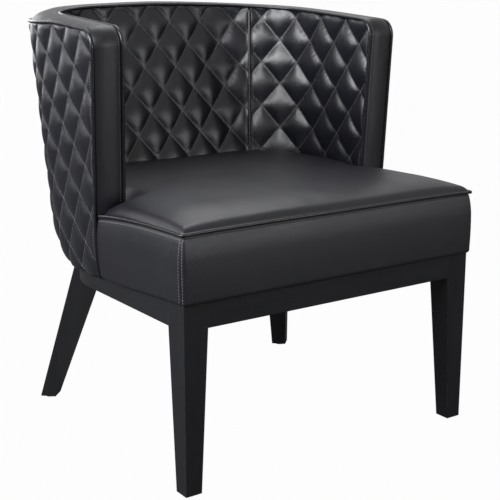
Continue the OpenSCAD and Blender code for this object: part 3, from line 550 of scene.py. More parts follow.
class Panel:
    """A quilted panel of the wall: a region of lengths s and heights z on one face."""

    def __init__(self, wall, name, side, depth, outside, lattice):
        self.wall, self.name, self.side = wall, name, side
        self.depth, self.out, self.lattice = depth, 1 if outside else -1, lattice
        self.low = wall.shell.bottom if outside else wall.quilt.inner_lower

    def start(self, z):
        raise NotImplementedError

    def stop(self, z):
        raise NotImplementedError

    def flat(self, s, z):
        """Coordinates of the quilting's own flat pattern."""
        return s, z

    def unflat(self, u, v):
        """Length and height of a point of the flat pattern."""
        return u, v

    def corner_gone(self, k):
        """Run from the arm's front to a point of its rounded upper corner; k is 0 to 1 along it."""
        r = self.wall.shell.arm_corner - self.wall.trim.sewn
        return r * (1 - np.cos(np.pi / 2 * (1 - k)))

    def top(self, s):
        """Upper edge: the rim less the welt, with the arm's rounded corner."""
        wall = self.wall
        q = wall.place_of(s, wall.shell.rim_front, self.depth)
        across = self.depth / wall.shell.wall
        gone = (3 - q) * wall.arm_run - wall.trim.sewn
        r = wall.shell.arm_corner - wall.trim.sewn
        drop = np.where(gone < r, r - np.sqrt(np.maximum(0, r * r - (r - np.clip(gone, 0, r)) ** 2)), 0)
        return mix(wall.rim_out(q), wall.rim_in(q), across) - wall.trim.sewn - drop

    def shares(self):
        """Shares of the run across the panel, closer together at an arm's rounded corner."""
        z = self.wall.shell.rim_front
        run = self.stop(z) - self.start(z)
        if self.side == 0:
            return np.linspace(0, 1, steps(run, self.wall.quilt.mesh_step) + 1)
        r = self.corner_gone(0)
        plain = np.linspace(0, 1 - r / run, steps(run - r, self.wall.quilt.mesh_step) + 1)
        bent = np.linspace(0, 1, steps(r * 1.6, self.wall.quilt.mesh_step) + 1)[1:]
        turned = 1 - self.corner_gone(bent) / run
        return np.concatenate([plain, turned])

    def grid(self):
        """Lengths and heights of the grid of points that covers the panel."""
        wall = self.wall
        marks = self.shares()
        z_mid = wall.shell.rim_front
        s_top = mix(self.start(z_mid), self.stop(z_mid), marks)
        top = self.top(s_top)
        rows = steps(wall.shell.rim_back - self.low, wall.quilt.mesh_step)
        z = mix(self.low, top[None, :], np.linspace(0, 1, rows + 1)[:, None])
        return mix(self.start(z), self.stop(z), marks[None, :]), z

    def to_edge(self, s, z):
        """Distance to the nearest sewn edge of the panel, and to the nearer upright one."""
        z_mid = self.wall.shell.rim_front
        mark = (s - self.start(z)) / (self.stop(z) - self.start(z))
        top = self.top(mix(self.start(z_mid), self.stop(z_mid), mark))
        sides = np.minimum(s - self.start(z), self.stop(z) - s)
        return np.minimum(sides, top - z), sides

    def beside_row(self, s, z):
        """Closeness to the topstitching beside the upright edges, 1 on it."""
        trim = self.wall.trim
        _, sides = self.to_edge(s, z)
        row = np.exp(-((sides - trim.row_gap) / ROW_HALF) ** 2)
        return row * (z < self.wall.shell.rim_front - 4 * trim.row_gap) * (self.side != 0 or self.out < 0)

    def relief(self, s, z):
        """Height above the plain face and closeness to a seam or sewn edge, which sets the painted shade
        there; the sewn edges roll down.
        """
        sizes = self.wall.quilt
        puff, proud = (sizes.puff_outer, sizes.proud_outer) if self.out > 0 else (sizes.puff, sizes.proud)
        height, seam = self.lattice.relief(*self.flat(s, z), sizes, puff)
        away, _ = self.to_edge(s, z)
        away = np.maximum(away, 0)
        height = mix(-EDGE_SINK, height - (puff - proud), 1 - quarter(away / EDGE_ROLL))
        height = height - ROW_DEPTH * self.beside_row(s, z)
        # Painted shade also runs along the sewn edges
        seam = np.maximum(seam, np.exp(-(away / 0.0012) ** 2))
        return height, seam

    def smooth(self, s, z):
        """Points of the plain face, with side and direction applied."""
        place = self.wall.point(s, z, self.depth)
        return place * (1 if self.side == 0 else self.side, 1, 1)

    def normals(self, s, z):
        """Unit normals of the plain face from small steps along it."""
        e = MM
        across = self.smooth(s + e, z) - self.smooth(s - e, z)
        up = self.smooth(s, z + e) - self.smooth(s, z - e)
        normal = unit(np.cross(across, up))
        outward_plan = self.smooth(s, z) - self.wall_middle(z)
        sign = np.sign(np.sum(normal * outward_plan, -1, keepdims=True))
        return normal * sign * self.out

    def wall_middle(self, z):
        """Point of the chair's middle line at the depth where the corners start."""
        z = np.asarray(z, float)
        return np.stack([np.zeros(z.shape), self.wall.front(z) + FRONT_Y, z], -1)

    def surface(self, s, z, lift=0.0):
        """Points of the quilted face."""
        height, _ = self.relief(s, z)
        return self.smooth(s, z) + (height + lift)[..., None] * self.normals(s, z)


class MiddlePanel(Panel):
    """Inner back between its two seams."""

    def start(self, z):
        return -self.wall.seam(z) + SEAM_SHARE * self.wall.trim.sewn

    def stop(self, z):
        return self.wall.seam(z) - SEAM_SHARE * self.wall.trim.sewn


class WingPanel(Panel):
    """Inner wing from the back's seam to the arm's front. Its quilting is laid out from the seam."""

    def start(self, z):
        return self.wall.seam(z) + SEAM_SHARE * self.wall.trim.sewn

    def stop(self, z):
        return self.wall.length_at(3 - self.wall.trim.sewn / self.wall.arm_run, z, self.depth)

    def flat(self, s, z):
        return s - self.wall.seam(z), z

    def unflat(self, u, v):
        return u + self.wall.seam(v), v


class OuterSide(Panel):
    """Outer side from the rear seam to the arm's front. Its quilting is laid out from the front."""

    def start(self, z):
        return self.wall.length_at(1.5, z, 0)

    def stop(self, z):
        return self.wall.length_at(3 - self.wall.trim.sewn / self.wall.arm_run, z, 0)

    def flat(self, s, z):
        return self.wall.front(z) + self.wall.length_at(3.0, z, 0) - s, z

    def unflat(self, u, v):
        return self.wall.front(v) + self.wall.length_at(3.0, v, 0) - u, v


class OuterBack(Panel):
    """Outer back between the two rear seams."""

    def start(self, z):
        return -self.stop(z)

    def stop(self, z):
        return self.wall.length_at(1.5, z, 0)


def panels_of(wall):
    """The six quilted panels with their seams' patterns."""
    quilt, shell = wall.quilt, wall.shell
    middle = Lattice((0, quilt.middle_z), (quilt.half_w, quilt.half_h), (quilt.half_w, -quilt.half_h))
    wing = Lattice((quilt.wing_start, quilt.wing_z), (quilt.wing_half_w, quilt.wing_half_h),
                   (quilt.wing_half_w, -quilt.wing_half_h))
    side, rear = Lattice(*SIDE_LATTICE), Lattice(*REAR_LATTICE)
    inner = [MiddlePanel(wall, "inner_back", 0, shell.wall, False, middle)]
    outer = [OuterBack(wall, "outer_back", 0, 0.0, True, rear)]
    for hand, way in (("left", -1), ("right", 1)):
        inner.append(WingPanel(wall, "inner_wing_" + hand, way, shell.wall, False, wing))
        outer.append(OuterSide(wall, "outer_side_" + hand, way, 0.0, True, side))
    return inner, outer


def swell(points, sewn, out, cap, sizes):
    """Cover of a padded piece: a grid of points simulated as cloth, held where sewn nears 1.

    The cloth is a little larger than its place and pressed outward from below, so it bulges and
    gathers between its seams. No point moves further than cap."""
    faces = grid_faces(*sewn.shape)
    if np.sum(grid_normals(points) * out) < 0:
        faces = faces[:, ::-1]
    piece = put_mesh("cloth_in_work", points.reshape(-1, 3), faces)
    held = piece.vertex_groups.new(name="sewn")
    for quarter_share in range(1, 5):
        points_of_share = np.flatnonzero(np.round(sewn.ravel() * 4) == quarter_share)
        held.add(points_of_share.tolist(), quarter_share / 4, "REPLACE")
    modifier = piece.modifiers.new("Cloth", "CLOTH")
    cloth = modifier.settings
    cloth.quality, cloth.mass, cloth.air_damping = 5, 0.3, 1.0
    cloth.tension_stiffness, cloth.compression_stiffness, cloth.shear_stiffness = 15, 15, 5
    cloth.bending_stiffness = 0.5
    cloth.vertex_group_mass, cloth.pin_stiffness = "sewn", 1.0
    cloth.use_pressure, cloth.uniform_pressure_force = True, sizes.pressure
    cloth.shrink_min = -sizes.slack
    cloth.effector_weights.gravity = 0
    modifier.collision_settings.use_collision = False
    modifier.point_cache.frame_start, modifier.point_cache.frame_end = 1, sizes.frames
    for frame_number in range(1, sizes.frames + 1):
        bpy.context.scene.frame_set(frame_number)
    shaped = piece.evaluated_get(bpy.context.evaluated_depsgraph_get())
    swollen = np.empty(points.size, np.float32)
    shaped.data.vertices.foreach_get("co", swollen)
    bpy.data.meshes.remove(piece.data)
    bpy.context.scene.frame_set(1)
    move = swollen.reshape(points.shape) - points
    reach = np.linalg.norm(move, axis=-1, keepdims=True)
    return points + move * np.minimum(1, cap / np.maximum(reach, 1e-9))


def sew_panel(panel, leather):
    wall = panel.wall
    s, z = panel.grid()
    height, seam = panel.relief(s, z)
    normals = panel.normals(s, z)
    plain = panel.smooth(s, z)
    thick = wall.quilt.thick
    if panel.out > 0:
        thick = mix(wall.quilt.lap, wall.quilt.thick, ease((z - RAIL_TOP) / (2 * wall.quilt.thick)))
    thick = np.broadcast_to(thick, z.shape)
    height = np.maximum(height, -0.8 * thick)
    cloth = bpy.context.scene.chair_cloth
    held = np.maximum(seam, panel.beside_row(s, z))
    front = swell(plain + height[..., None] * normals, held, normals, cloth.quilt_cap, cloth)
    back = plain - thick[..., None] * normals
    # The seam layer carries the painted shade of the seams and sewn edges
    piece = skin(panel.name + "_quilted", front, back, seam=seam)
    return finish_piece(piece, [panel.name], [leather])


def stitches(points, ahead, up, trim):
    """Points and faces of short threads: six-sided spindles along ahead, bowed up by their radius.

    Each thread has four rings, thin and sunk at both ends, so 24 points and 22 faces."""
    turn = np.linspace(0, 2 * np.pi, 6, endpoint=False)
    along = np.array([-0.5, -0.28, 0.28, 0.5]) * trim.stitch
    girth = np.array([0.35, 1, 1, 0.35]) * trim.thread
    sunk = np.array([-0.6, 0.35, 0.35, -0.6]) * trim.thread
    side = unit(np.cross(ahead, up))
    ring = (np.cos(turn)[:, None] * side[:, None, None] + np.sin(turn)[:, None] * up[:, None, None])
    spine = (points[:, None] + along[:, None] * ahead[:, None] + sunk[:, None] * up[:, None])
    shape = spine[:, :, None] + girth[:, None, None] * ring
    faces = grid_faces(4, 6, closed=True)
    caps = np.array([[0, 1, 2, 3], [0, 3, 4, 5], [21, 20, 19, 18], [23, 22, 21, 18]])
    faces = np.concatenate([faces[:, ::-1], caps])
    count = len(points)
    every = faces[None] + 24 * np.arange(count)[:, None, None]
    flat = shape.reshape(-1, 3)
    return flat, every.reshape(-1, 4)


def put_stitches(name, runs, trim, thread):
    """One object for several runs of stitches, each (points, ahead, up)."""
    points = np.concatenate([r[0] for r in runs])
    ahead = unit(np.concatenate([r[1] for r in runs]))
    up = unit(np.concatenate([r[2] for r in runs]))
    flat, faces = stitches(points, ahead, up, trim)
    first = faces[:22]
    if not np.array_equal(outward(flat[:24] - flat[:24].mean(0), first), first):
        faces = faces[:, ::-1]
    piece = put_mesh(name, flat, faces)
    return finish_piece(piece, [], [thread])


def row_of(path, up, pitch):
    """Evenly spaced points along a path of close points, with their directions."""
    gaps = np.linalg.norm(np.diff(path, axis=0), axis=1)
    reach = np.concatenate([[0], np.cumsum(gaps)])
    at = np.arange(pitch / 2, reach[-1], pitch)
    place = np.stack([np.interp(at, reach, path[:, k]) for k in range(3)], -1)
    ahead = np.stack([np.interp(at + pitch / 4, reach, path[:, k])
                      - np.interp(at - pitch / 4, reach, path[:, k]) for k in range(3)], -1)
    lean = np.stack([np.interp(at, reach, up[:, k]) for k in range(3)], -1)
    return place, ahead, lean


def quilt_stitches(panel):
    """Runs of stitches along all seams of a panel's quilting."""
    trim = panel.wall.trim
    lattice = panel.lattice
    s, z = panel.grid()
    p, q = lattice.counts(*panel.flat(s, z))
    runs = []
    for turned in (False, True):
        lines, along = (q, p) if turned else (p, q)
        step = trim.stitch_pitch / lattice.lengths[0 if turned else 1]
        line = np.arange(math.ceil(lines.min()), math.floor(lines.max()) + 1)
        place = np.arange(along.min(), along.max(), step)
        line, place = (v.ravel() for v in np.meshgrid(line, place))
        u, v = lattice.place(place, line) if turned else lattice.place(line, place)
        e = 0.2 * step
        u2, v2 = lattice.place(place + e, line) if turned else lattice.place(line, place + e)
        a = panel.unflat(u, v)
        b = panel.unflat(u2, v2)
        away, _ = panel.to_edge(*a)
        inside = (away > 0.003) & (v > panel.low + 0.004)
        a, b = tuple(x[inside] for x in a), tuple(x[inside] for x in b)
        here, there = panel.surface(*a), panel.surface(*b)
        runs.append((here, there - here, panel.normals(*a)))
    return runs


def edge_rows(panel):
    """Runs of topstitching beside the upright edges of a panel, up to where its corner turns."""
    trim = panel.wall.trim
    top = panel.wall.shell.rim_front - 4 * trim.row_gap
    z = np.linspace(panel.low, top, steps(top - panel.low, trim.stitch_pitch))
    runs = []
    for s in (panel.start(z) + trim.row_gap, panel.stop(z) - trim.row_gap):
        path, up = panel.surface(s, z), panel.normals(s, z)
        runs.append(row_of(path, up, trim.stitch_pitch))
    return runs


def border_lift(wall, rows, t):
    """Swell of the border band at a share t of its width.

    A flat-topped bow, 1 - |2t - 1|^2.6, that rolls down to the welt at both edges, less a shallow
    valley under the topstitching."""
    crown = mix(wall.trim.crown_back, wall.trim.crown_arm, wall.arm_form(rows[:, 1:2]))
    bow = 1 - np.abs(2 * t - 1) ** 2.6
    edge = np.minimum(t, 1 - t) * wall.shell.wall
    row = (1 - t) * wall.shell.wall - wall.trim.row_gap
    valley = 0.0006 * np.exp(-(row / ROW_HALF) ** 2)
    return crown * bow - 0.0012 * quarter(edge / 0.003) - valley


def border_points(wall, rows, t):
    """Points of the border band at shares t of its width."""
    gap = wall.trim.sewn / wall.shell.wall
    across = mix(gap, 1 - gap, t)
    drape = 0.0006 * noise(np.cumsum(np.ones(len(rows)))[:, None] / 22, t * 2.5, 21)
    return wall.rim_point(rows, across, border_lift(wall, rows, t) + drape * np.sin(np.pi * t))


def sew_border(wall, leather):
    """The plain border over the rim and down the fronts of the arms, as one closed strip."""
    rows = wall.rim_path(wall.trim.border_lower, 0.003)
    t = np.linspace(0, 1, 25)[None, :]
    front = border_points(wall, rows, t)
    gap = wall.trim.sewn / wall.shell.wall
    back = wall.rim_point(rows, mix(gap, 1 - gap, t), np.full((len(rows), 25), -wall.trim.border_thick))
    piece = skin("border_band_upholstered", front, back)
    return finish_piece(piece, ["border_band"], [leather])


def border_rows(wall):
    """Topstitching on the border beside the inner welt."""
    rows = wall.rim_path(wall.trim.border_lower + 0.012, 0.003)
    t = 1 - wall.trim.row_gap / wall.shell.wall
    path = border_points(wall, rows, np.full((len(rows), 1), t))[:, 0]
    return [row_of(path, wall.rim_outs(rows), wall.trim.stitch_pitch)]


def sew_cord(name, node_name, path, across, out, radius, leather):
    """One welt: a cord in leather, a little fuller and thinner along its length."""
    along = np.arange(len(path))
    girth = radius * (1 + 0.03 * noise(along / 3.1, along * 0, 31))
    points, faces = tube_mesh(path, unit(across), unit(out), girth, 14)
    piece = put_mesh(name, points, faces)
    return finish_piece(piece, [node_name], [leather])


def sew_welts(wall, leather):
    """The welts of the rim and the two cords in the seams of the back."""
    shell, trim = wall.shell, wall.trim
    for name, across, foot in (("inner_welt", 1.0, trim.border_lower + 0.016),
                               ("outer_welt", 0.0, shell.bottom + shell.tilt_side)):
        rows = wall.rim_path(foot, 0.004)
        path = wall.rim_point(rows, np.full((1, 1), across), np.zeros((1, 1)))[:, 0]
        sides, outs = wall.rim_sides(rows), wall.rim_outs(rows)
        sew_cord(name + "_cord", name, path, sides, outs, trim.welt, leather)
    top = wall.rim_in(wall.place_of(wall.seam(shell.rim_back), shell.rim_back, shell.wall))
    z = np.linspace(wall.quilt.inner_lower, top - wall.edge_gap - trim.welt, 90)
    for hand, way in (("left", -1), ("right", 1)):
        path = wall.point(wall.seam(z), z, shell.wall - 0.5 * MM) * (way, 1, 1)
        side = wall.point(wall.seam(z) + MM, z, shell.wall) - wall.point(wall.seam(z) - MM, z, shell.wall)
        side = unit(side) * (way, 1, 1)
        out = unit(np.cross(side, np.gradient(path, axis=0)))
        radius = trim.welt * SEAM_SHARE
        sew_cord("back_seam_cord_" + hand, "back_seam_" + hand, path, side, out, radius, leather)


class Seat:
    """The T-shaped seat: full width in front of the arms, and a neck between them."""

    def __init__(self, wall):
        self.wall, self.size, self.trim = wall, wall.seat, wall.trim
        size, trim = self.size, self.trim
        self.split = wall.front(size.welt_z) - trim.crown_arm - trim.soft_gap
        self.side_z = size.welt_z - size.side_drop
        self.inset = size.cord_in + trim.sewn
        self.half_neck = wall.half_width(size.welt_z) - wall.shell.wall - trim.soft_gap
        self.rear = wall.depth(size.welt_z) - wall.shell.wall

    def edge(self, x, y):
        """Height of the seat's edge: its fall is carried across the seat as a sixth power."""
        return self.size.welt_z - self.wall.side_fall(y) * np.minimum(1, np.abs(x) / self.size.half) ** 6

    def shoulder(self, d):
        """Rounded shoulder, 1 - (1 - d)^2.5: 0 at the edge and 1 a shoulder's width inside it."""
        return 1 - (1 - np.clip(d / self.size.shoulder, 0, 1)) ** 2.5

    def dome(self, d):
        """Slow rise, 1 - (1 - d)^3, up to a dome's width inside the edge."""
        return 1 - (1 - np.clip(d / self.size.dome, 0, 1)) ** 3

    def crease(self, x, y):
        """Share of the crown that is pulled down where the top passes the front of an arm."""
        beside = ease((np.abs(x) - self.half_neck) / self.size.pull_width + 1)
        return self.size.arm_pull * beside * ease(1 - np.abs(y - self.split) / self.size.pull_reach)

    def top(self, x, y):
        """Height of the top: the edge, a roll along it and a slow crown over the whole seat.

        The roll is the lower of two shoulders with their corner rounded as a sixth power. The top
        sinks a little where it meets the back."""
        size = self.size
        from_front, from_side = y + size.overhang_high - self.inset, size.half - self.inset - np.abs(x)
        steep = (1 - self.shoulder(from_front)) ** 6 + (1 - self.shoulder(from_side)) ** 6
        slow = self.dome(from_front) * self.dome(from_side)
        crown = size.roll * np.maximum(0, 1 - steep ** (1 / 6)) + (size.crown - size.roll) * slow
        rear = size.rear_fall * ease((y - self.rear) / REAR_RUN + 1)
        return self.edge(x, y) + (1 - self.crease(x, y)) * crown - rear

    def front_y(self, x, w, inset):
        """Front edge in plan with its rounded corners, an inset behind the welt."""
        r = self.size.corner
        over = np.clip(np.abs(x) - (w - r), 0, r)
        return -self.size.overhang_high + inset + r - np.sqrt(r * r - over * over)

    def grid(self, inset, depth, step, level=None, ring=None):
        """Plan of the seat as a grid, and which of its cells are there.

        The inner columns run on into the neck; the outer ones end at the arms. The neck follows the
        padded wall at a level, or ring, which gives its outline as (x, y) arrays."""
        wall = self.wall
        if ring is None:
            level = self.side_z if level is None else level
            shares = np.linspace(0, 1, steps(sum(wall.runs(self.side_z, depth)[:2]), step) + 1)
            outline = wall.point(shares * sum(wall.runs(level, depth)[:2]), level, depth)
            ring = outline[:, 0], outline[:, 1] - FRONT_Y
        half_neck = ring[0][-1]
        inner = np.concatenate([-ring[0][:0:-1], ring[0]])
        rear = np.concatenate([ring[1][:0:-1], ring[1]])
        count = steps(self.size.half - self.half_neck, step / 1.6)
        outer = np.sin(np.linspace(0, 1, count + 1)[1:] * np.pi / 2)
        t = np.linspace(0, 1, steps(self.split, step) + 1)[:, None]
        w = wall.seat_half(t * self.split, self.side_z) - inset
        side = mix(half_neck, w, outer[None, :])
        x = np.concatenate([-side[:, ::-1], np.broadcast_to(inner, (len(t), len(inner))), side], 1)
        y = mix(self.front_y(x, w, inset), self.split, t)
        back_t = np.linspace(0, 1, steps(self.rear - self.split, step) + 1)[1:, None]
        pad = len(outer)
        neck_x = np.broadcast_to(inner, (len(back_t), len(inner)))
        neck_x = np.pad(neck_x, ((0, 0), (pad, pad)), mode="edge")
        neck_y = mix(self.split, np.pad(rear, pad, mode="edge")[None, :], back_t)
        x, y = np.concatenate([x, neck_x]), np.concatenate([y, neck_y])
        keep = np.ones((x.shape[0] - 1, x.shape[1] - 1), bool)
        keep[len(t) - 1:, :pad] = False
        keep[len(t) - 1:, -pad:] = False
        return x, y, keep

    def points(self, x, y, z):
        return np.stack([x, y + FRONT_Y, z], -1)


def seat_relief(x, y):
    """Faint unevenness of a smooth, well-filled seat, under a millimetre."""
    return 0.0009 * noise(x / 0.11, y / 0.09, 41) + 0.0003 * noise(x / 0.03, y / 0.035, 43)


def sew_seat(seat, leather):
    """The crowned top of the seat as a closed cushion whose edges turn down to the welt."""
    trim, size, wall = seat.trim, seat.size, seat.wall
    depth = wall.shell.wall + trim.soft_gap
    x, y, keep = seat.grid(seat.inset, depth, size.mesh_step, level=size.welt_z + 0.8 * size.crown)
    low_x, low_y, _ = seat.grid(seat.inset, depth, size.mesh_step)
    z = seat.top(x, y) + seat_relief(x, y)
    low = seat.edge(x, y)
    z = z - PRESSED * ~inside_marks(keep) * np.clip((z - low) / size.crown, 0, 1)
    front = seat.points(x, y, z)
    back = seat.points(low_x, low_y, low - trim.welt)
    piece = skin("seat_cushion_upholstered", front, back, keep=keep)
    return finish_piece(piece, ["seat_cushion"], [leather])


def inside_marks(keep):
    """True for grid points whose four cells are all there."""
    cells = np.pad(keep, 1)
    return cells[:-1, :-1] & cells[1:, :-1] & cells[:-1, 1:] & cells[1:, 1:]


def cut_foam(seat, foam):
    """The foam block under the top, with its edges rounded."""
    trim, size = seat.trim, seat.size
    low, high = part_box("seat_core")
    inset = size.band + trim.soft_gap + 1.5 * MM
    x, y, keep = seat.grid(inset, seat.wall.shell.wall + trim.soft_gap, 0.008, ring=foam_outline(seat))
    top = np.minimum(seat.edge(x, y) - seat.wall.edge_gap - 2 * trim.soft_gap, high.z)
    pores = 0.0004 * noise(x / 0.004, y / 0.004, 51)
    edge = ~inside_marks(keep)
    front = seat.points(x, y, np.where(edge, top - 0.004, top) + pores - 0.0005)
    back = seat.points(x, y, np.full(x.shape, low.z))
    piece = skin("seat_foam_block", front, back, keep=keep)
    return finish_piece(piece, ["seat_core"], [foam])


def foam_outline(seat):
    """Outline of the neck of the foam: straight sides and a round corner inside the base's ring."""
    _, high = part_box("seat_core")
    _, panel_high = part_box("seat_panel")
    rear = high.y - FRONT_Y
    inset = panel_high.y - high.y
    half = panel_high.x - inset
    r = RAIL_CORNER - inset
    a = np.linspace(0, np.pi / 2, 24)
    x = np.concatenate([np.linspace(0, half - r, 12, endpoint=False), half - r + r * np.sin(a)])
    y = np.concatenate([np.full(12, rear), rear - r + r * np.cos(a)])
    return x, y


class Bands:
    """The bands round the seat between its welt and the rail."""

    def __init__(self, seat):
        self.seat, self.wall, self.size, self.trim = seat, seat.wall, seat.size, seat.trim
        self.low_z = RAIL_TOP + self.trim.soft_gap

    def top_z(self, x):
        """Height of the front band's upper edge, just inside the lower half of the welt."""
        return self.seat.edge(x, 0.0) - self.wall.edge_gap

    def swell(self, h):
        return self.size.swell * np.sin(np.pi * h)

    def roll(self, h, height, end):
        """How far the surface sinks towards its sewn edges.

        A soft fall, (1 - d)^2, to the welt and the corner seam, quarter circles at the foot, the
        welt and the seam, and a valley under each row of topstitching."""
        foot, head = h * height, (1 - h) * height
        sunk = sum(deep * np.clip(1 - away / run, 0, 1) ** 2
                   for away, (deep, run) in ((head, HEAD_FALL), (end, END_FALL)))
        for away, (deep, run) in ((foot, FOOT_EDGE), (head, HEAD_EDGE), (end, END_EDGE)):
            sunk = sunk + deep * quarter(away / run)
        deep, half = BAND_ROW
        for away, row in ((head, self.trim.row_gap), (end, self.trim.row_gap * CORNER_ROW)):
            sunk = sunk + deep * np.exp(-((away - row) / half) ** 2)
        return sunk

    def seam(self, h, height, end):
        """Closeness to a seam, 1 on it, for the painted shade in the grooves under the welt and at the
        corner seams.
        """
        return np.exp(-(np.minimum((1 - h) * height, end) / 0.0022) ** 2)

    def wrinkles(self, end, z):
        """Short gathers that run out from the corner seam and die away from it."""
        wave = np.sin(2 * np.pi * (z / 0.013 + 0.9 * noise(z / 0.02, end / 0.03, 61)))
        return 0.00012 * wave * np.exp(-end / 0.014) * (1 - np.exp(-end / 0.003))

    def front(self, w, h, d=None):
        """Front band: w runs along it from corner to corner in metres, 0 in the middle, h up it.

        Straight across, then a quarter turn round each corner. It lies d behind the plain face, or
        without d it is the face that shows, with its round edges and gathers."""
        size, bend = self.size, self.size.corner
        flat = size.half - bend
        turn = np.clip((np.abs(w) - flat) / bend, 0, None)
        h, turn, w = np.broadcast_arrays(h, turn, w)
        height = self.top_z(w) - self.low_z
        z = self.low_z + h * height
        end = self.end() - np.abs(w)
        sunk = self.roll(h, height, end) - self.wrinkles(end, z) if d is None else d
        out = mix(size.overhang_low, size.overhang_high, h) + self.swell(h)
        reach = bend - sunk
        round_in = (reach + self.swell(h) * np.sin(turn)) * np.sin(turn)
        x = np.sign(w) * (np.minimum(np.abs(w), flat) + round_in)
        y = -out + bend - reach * np.cos(turn)
        return np.stack([x, y + FRONT_Y, z], -1)

    def end(self):
        """Half length of the front band, up to its seam past the corner."""
        return self.size.half + self.size.corner * (math.pi / 2 - 1)

    def side(self, way, t, h, d=None):
        """Side band: t runs from the corner seam to the arm, h up it, d as in front."""
        size, wall = self.size, self.wall
        t, h = np.broadcast_arrays(t, h)
        run = t * wall.shell.arm_front_low
        low = mix(self.low_z, wall.shell.bottom, ease(run / wall.shell.arm_front_low))
        high = size.welt_z - wall.side_fall(run) - wall.edge_gap
        z = mix(low, high, h)
        y = mix(size.corner - size.overhang_high, wall.front(z) - self.trim.sewn, t)
        out = wall.seat_half(y, z) + self.swell(h) * (1 - t)
        if d is None:
            end = y - (size.corner - size.overhang_high)
            sunk = self.roll(h, high - low, end) - self.wrinkles(end, z + 0.1)
        else:
            sunk = np.minimum(d, out - RAIL_HALF)
        return np.stack([way * (out - sunk), y + FRONT_Y, z], -1)


def sew_bands(bands, leather):
    """The front band and the two side bands as closed, gently bowed panels."""
    step = bands.size.mesh_step * 0.75
    thick = bands.size.band
    h = np.linspace(0, 1, steps(0.11, step) + 1)[:, None]
    flat = bands.size.half - bands.size.corner
    turned = np.linspace(flat, bands.end(), 9)[1:]
    half = np.concatenate([np.linspace(0, flat, steps(flat, step) + 1), turned])
    w = np.concatenate([-half[:0:-1], half])[None, :]
    height = bands.top_z(w) - bands.low_z
    # The seam layer is the painted shade under the welt and along the corner seams
    seam = bands.seam(h, height, bands.end() - np.abs(w) + 0 * h)
    piece = skin("seat_band_front_upholstered", bands.front(w, h), bands.front(w, h, thick), seam=seam)
    finish_piece(piece, ["seat_band_front"], [leather])
    t = np.linspace(0, 1, steps(bands.wall.shell.arm_front_low, step) + 1)[None, :]
    # The side bands get the same painted shade
    seam = bands.seam(h, bands.size.welt_z - bands.low_z, t * bands.wall.shell.arm_front_low + 0 * h)
    for hand, way in (("left", -1), ("right", 1)):
        front, back = bands.side(way, t, h), bands.side(way, t, h, thick)
        piece = skin("seat_band_upholstered_" + hand, front, back, seam=seam)
        finish_piece(piece, ["seat_band_" + hand], [leather])


def surface_row(place, along, across_step, trim):
    """Row of stitches on a surface function of one length: points, direction ahead and normal."""
    path = place(along, 0.0)
    beside = place(along, across_step)
    ahead = np.gradient(path, axis=0)
    up = unit(np.cross(ahead, beside - path))
    return row_of(path, up, trim.stitch_pitch)


def band_rows(bands):
    """Topstitching below the seat's welt and on both sides of the corner seams."""
    trim, size = bands.trim, bands.size
    height = size.welt_z - bands.wall.edge_gap - bands.low_z
    h_row = 1 - trim.row_gap / height
    beside = trim.row_gap * CORNER_ROW
    w = np.linspace(-bands.end() + beside, bands.end() - beside, 300)
    def level(a, value):
        return np.full(a.shape, value)

    runs = [surface_row(lambda a, e: bands.front(a, level(a, h_row + e)), w, 0.01, trim)]
    h = np.linspace(0.03, h_row, 60)
    t_row = beside / bands.wall.shell.arm_front_low
    t = np.linspace(t_row, 0.985, 140)
    for way in (-1, 1):
        corner = way * (bands.end() - beside)
        for place, along, step in (
                (lambda a, e: bands.front(level(a, corner + way * e), a), h, -0.001),
                (lambda a, e: bands.side(way, a, level(a, h_row + e)), t, 0.01),
                (lambda a, e: bands.side(way, level(a, t_row + e), a), h, 0.004)):
            runs.append(surface_row(place, along, step, trim))
    fixed = []
    centre = np.array([0, FRONT_Y + 0.15, 0.38])
    for points, ahead, up in runs:
        sign = np.sign(np.sum(up * (points - centre), -1, keepdims=True))
        fixed.append((points, ahead, up * sign))
    return fixed


def sew_seat_welt(seat, leather):
    """The seat's welt: along one side, round the front with its two corners, along the other side."""
    wall, size, trim = seat.wall, seat.size, seat.trim
    back = wall.front(size.welt_z) - wall.edge_gap - trim.crown_arm
    flat, bend = size.half - size.corner, size.corner - size.cord_in
    front = size.cord_in - size.overhang_high
    a = np.linspace(0, np.pi / 2, 8)
    y_side = np.linspace(front + bend, back, 70)[1:]
    x = np.concatenate([np.linspace(0, flat, 90, endpoint=False), flat + bend * np.sin(a),
                        wall.seat_half(y_side, seat.side_z) - size.cord_in])
    y = np.concatenate([np.full(90, front), front + bend * (1 - np.cos(a)), y_side])
    turn = np.concatenate([np.zeros(90), a, np.full(y_side.shape, np.pi / 2)])
    z = seat.edge(np.where(turn > 0, size.half, x), y)
    half = np.stack([x, y + FRONT_Y, z], -1)
    out = np.stack([np.sin(turn), -np.cos(turn), np.zeros(turn.shape)], -1)
    path = np.concatenate([half[:0:-1] * (-1, 1, 1), half])
    out = np.concatenate([out[:0:-1] * (-1, 1, 1), out])
    up = np.broadcast_to((0.0, 0.0, 1.0), out.shape)
    sew_cord("seat_welt_cord", "seat_welt", path, out, up, trim.welt, leather)


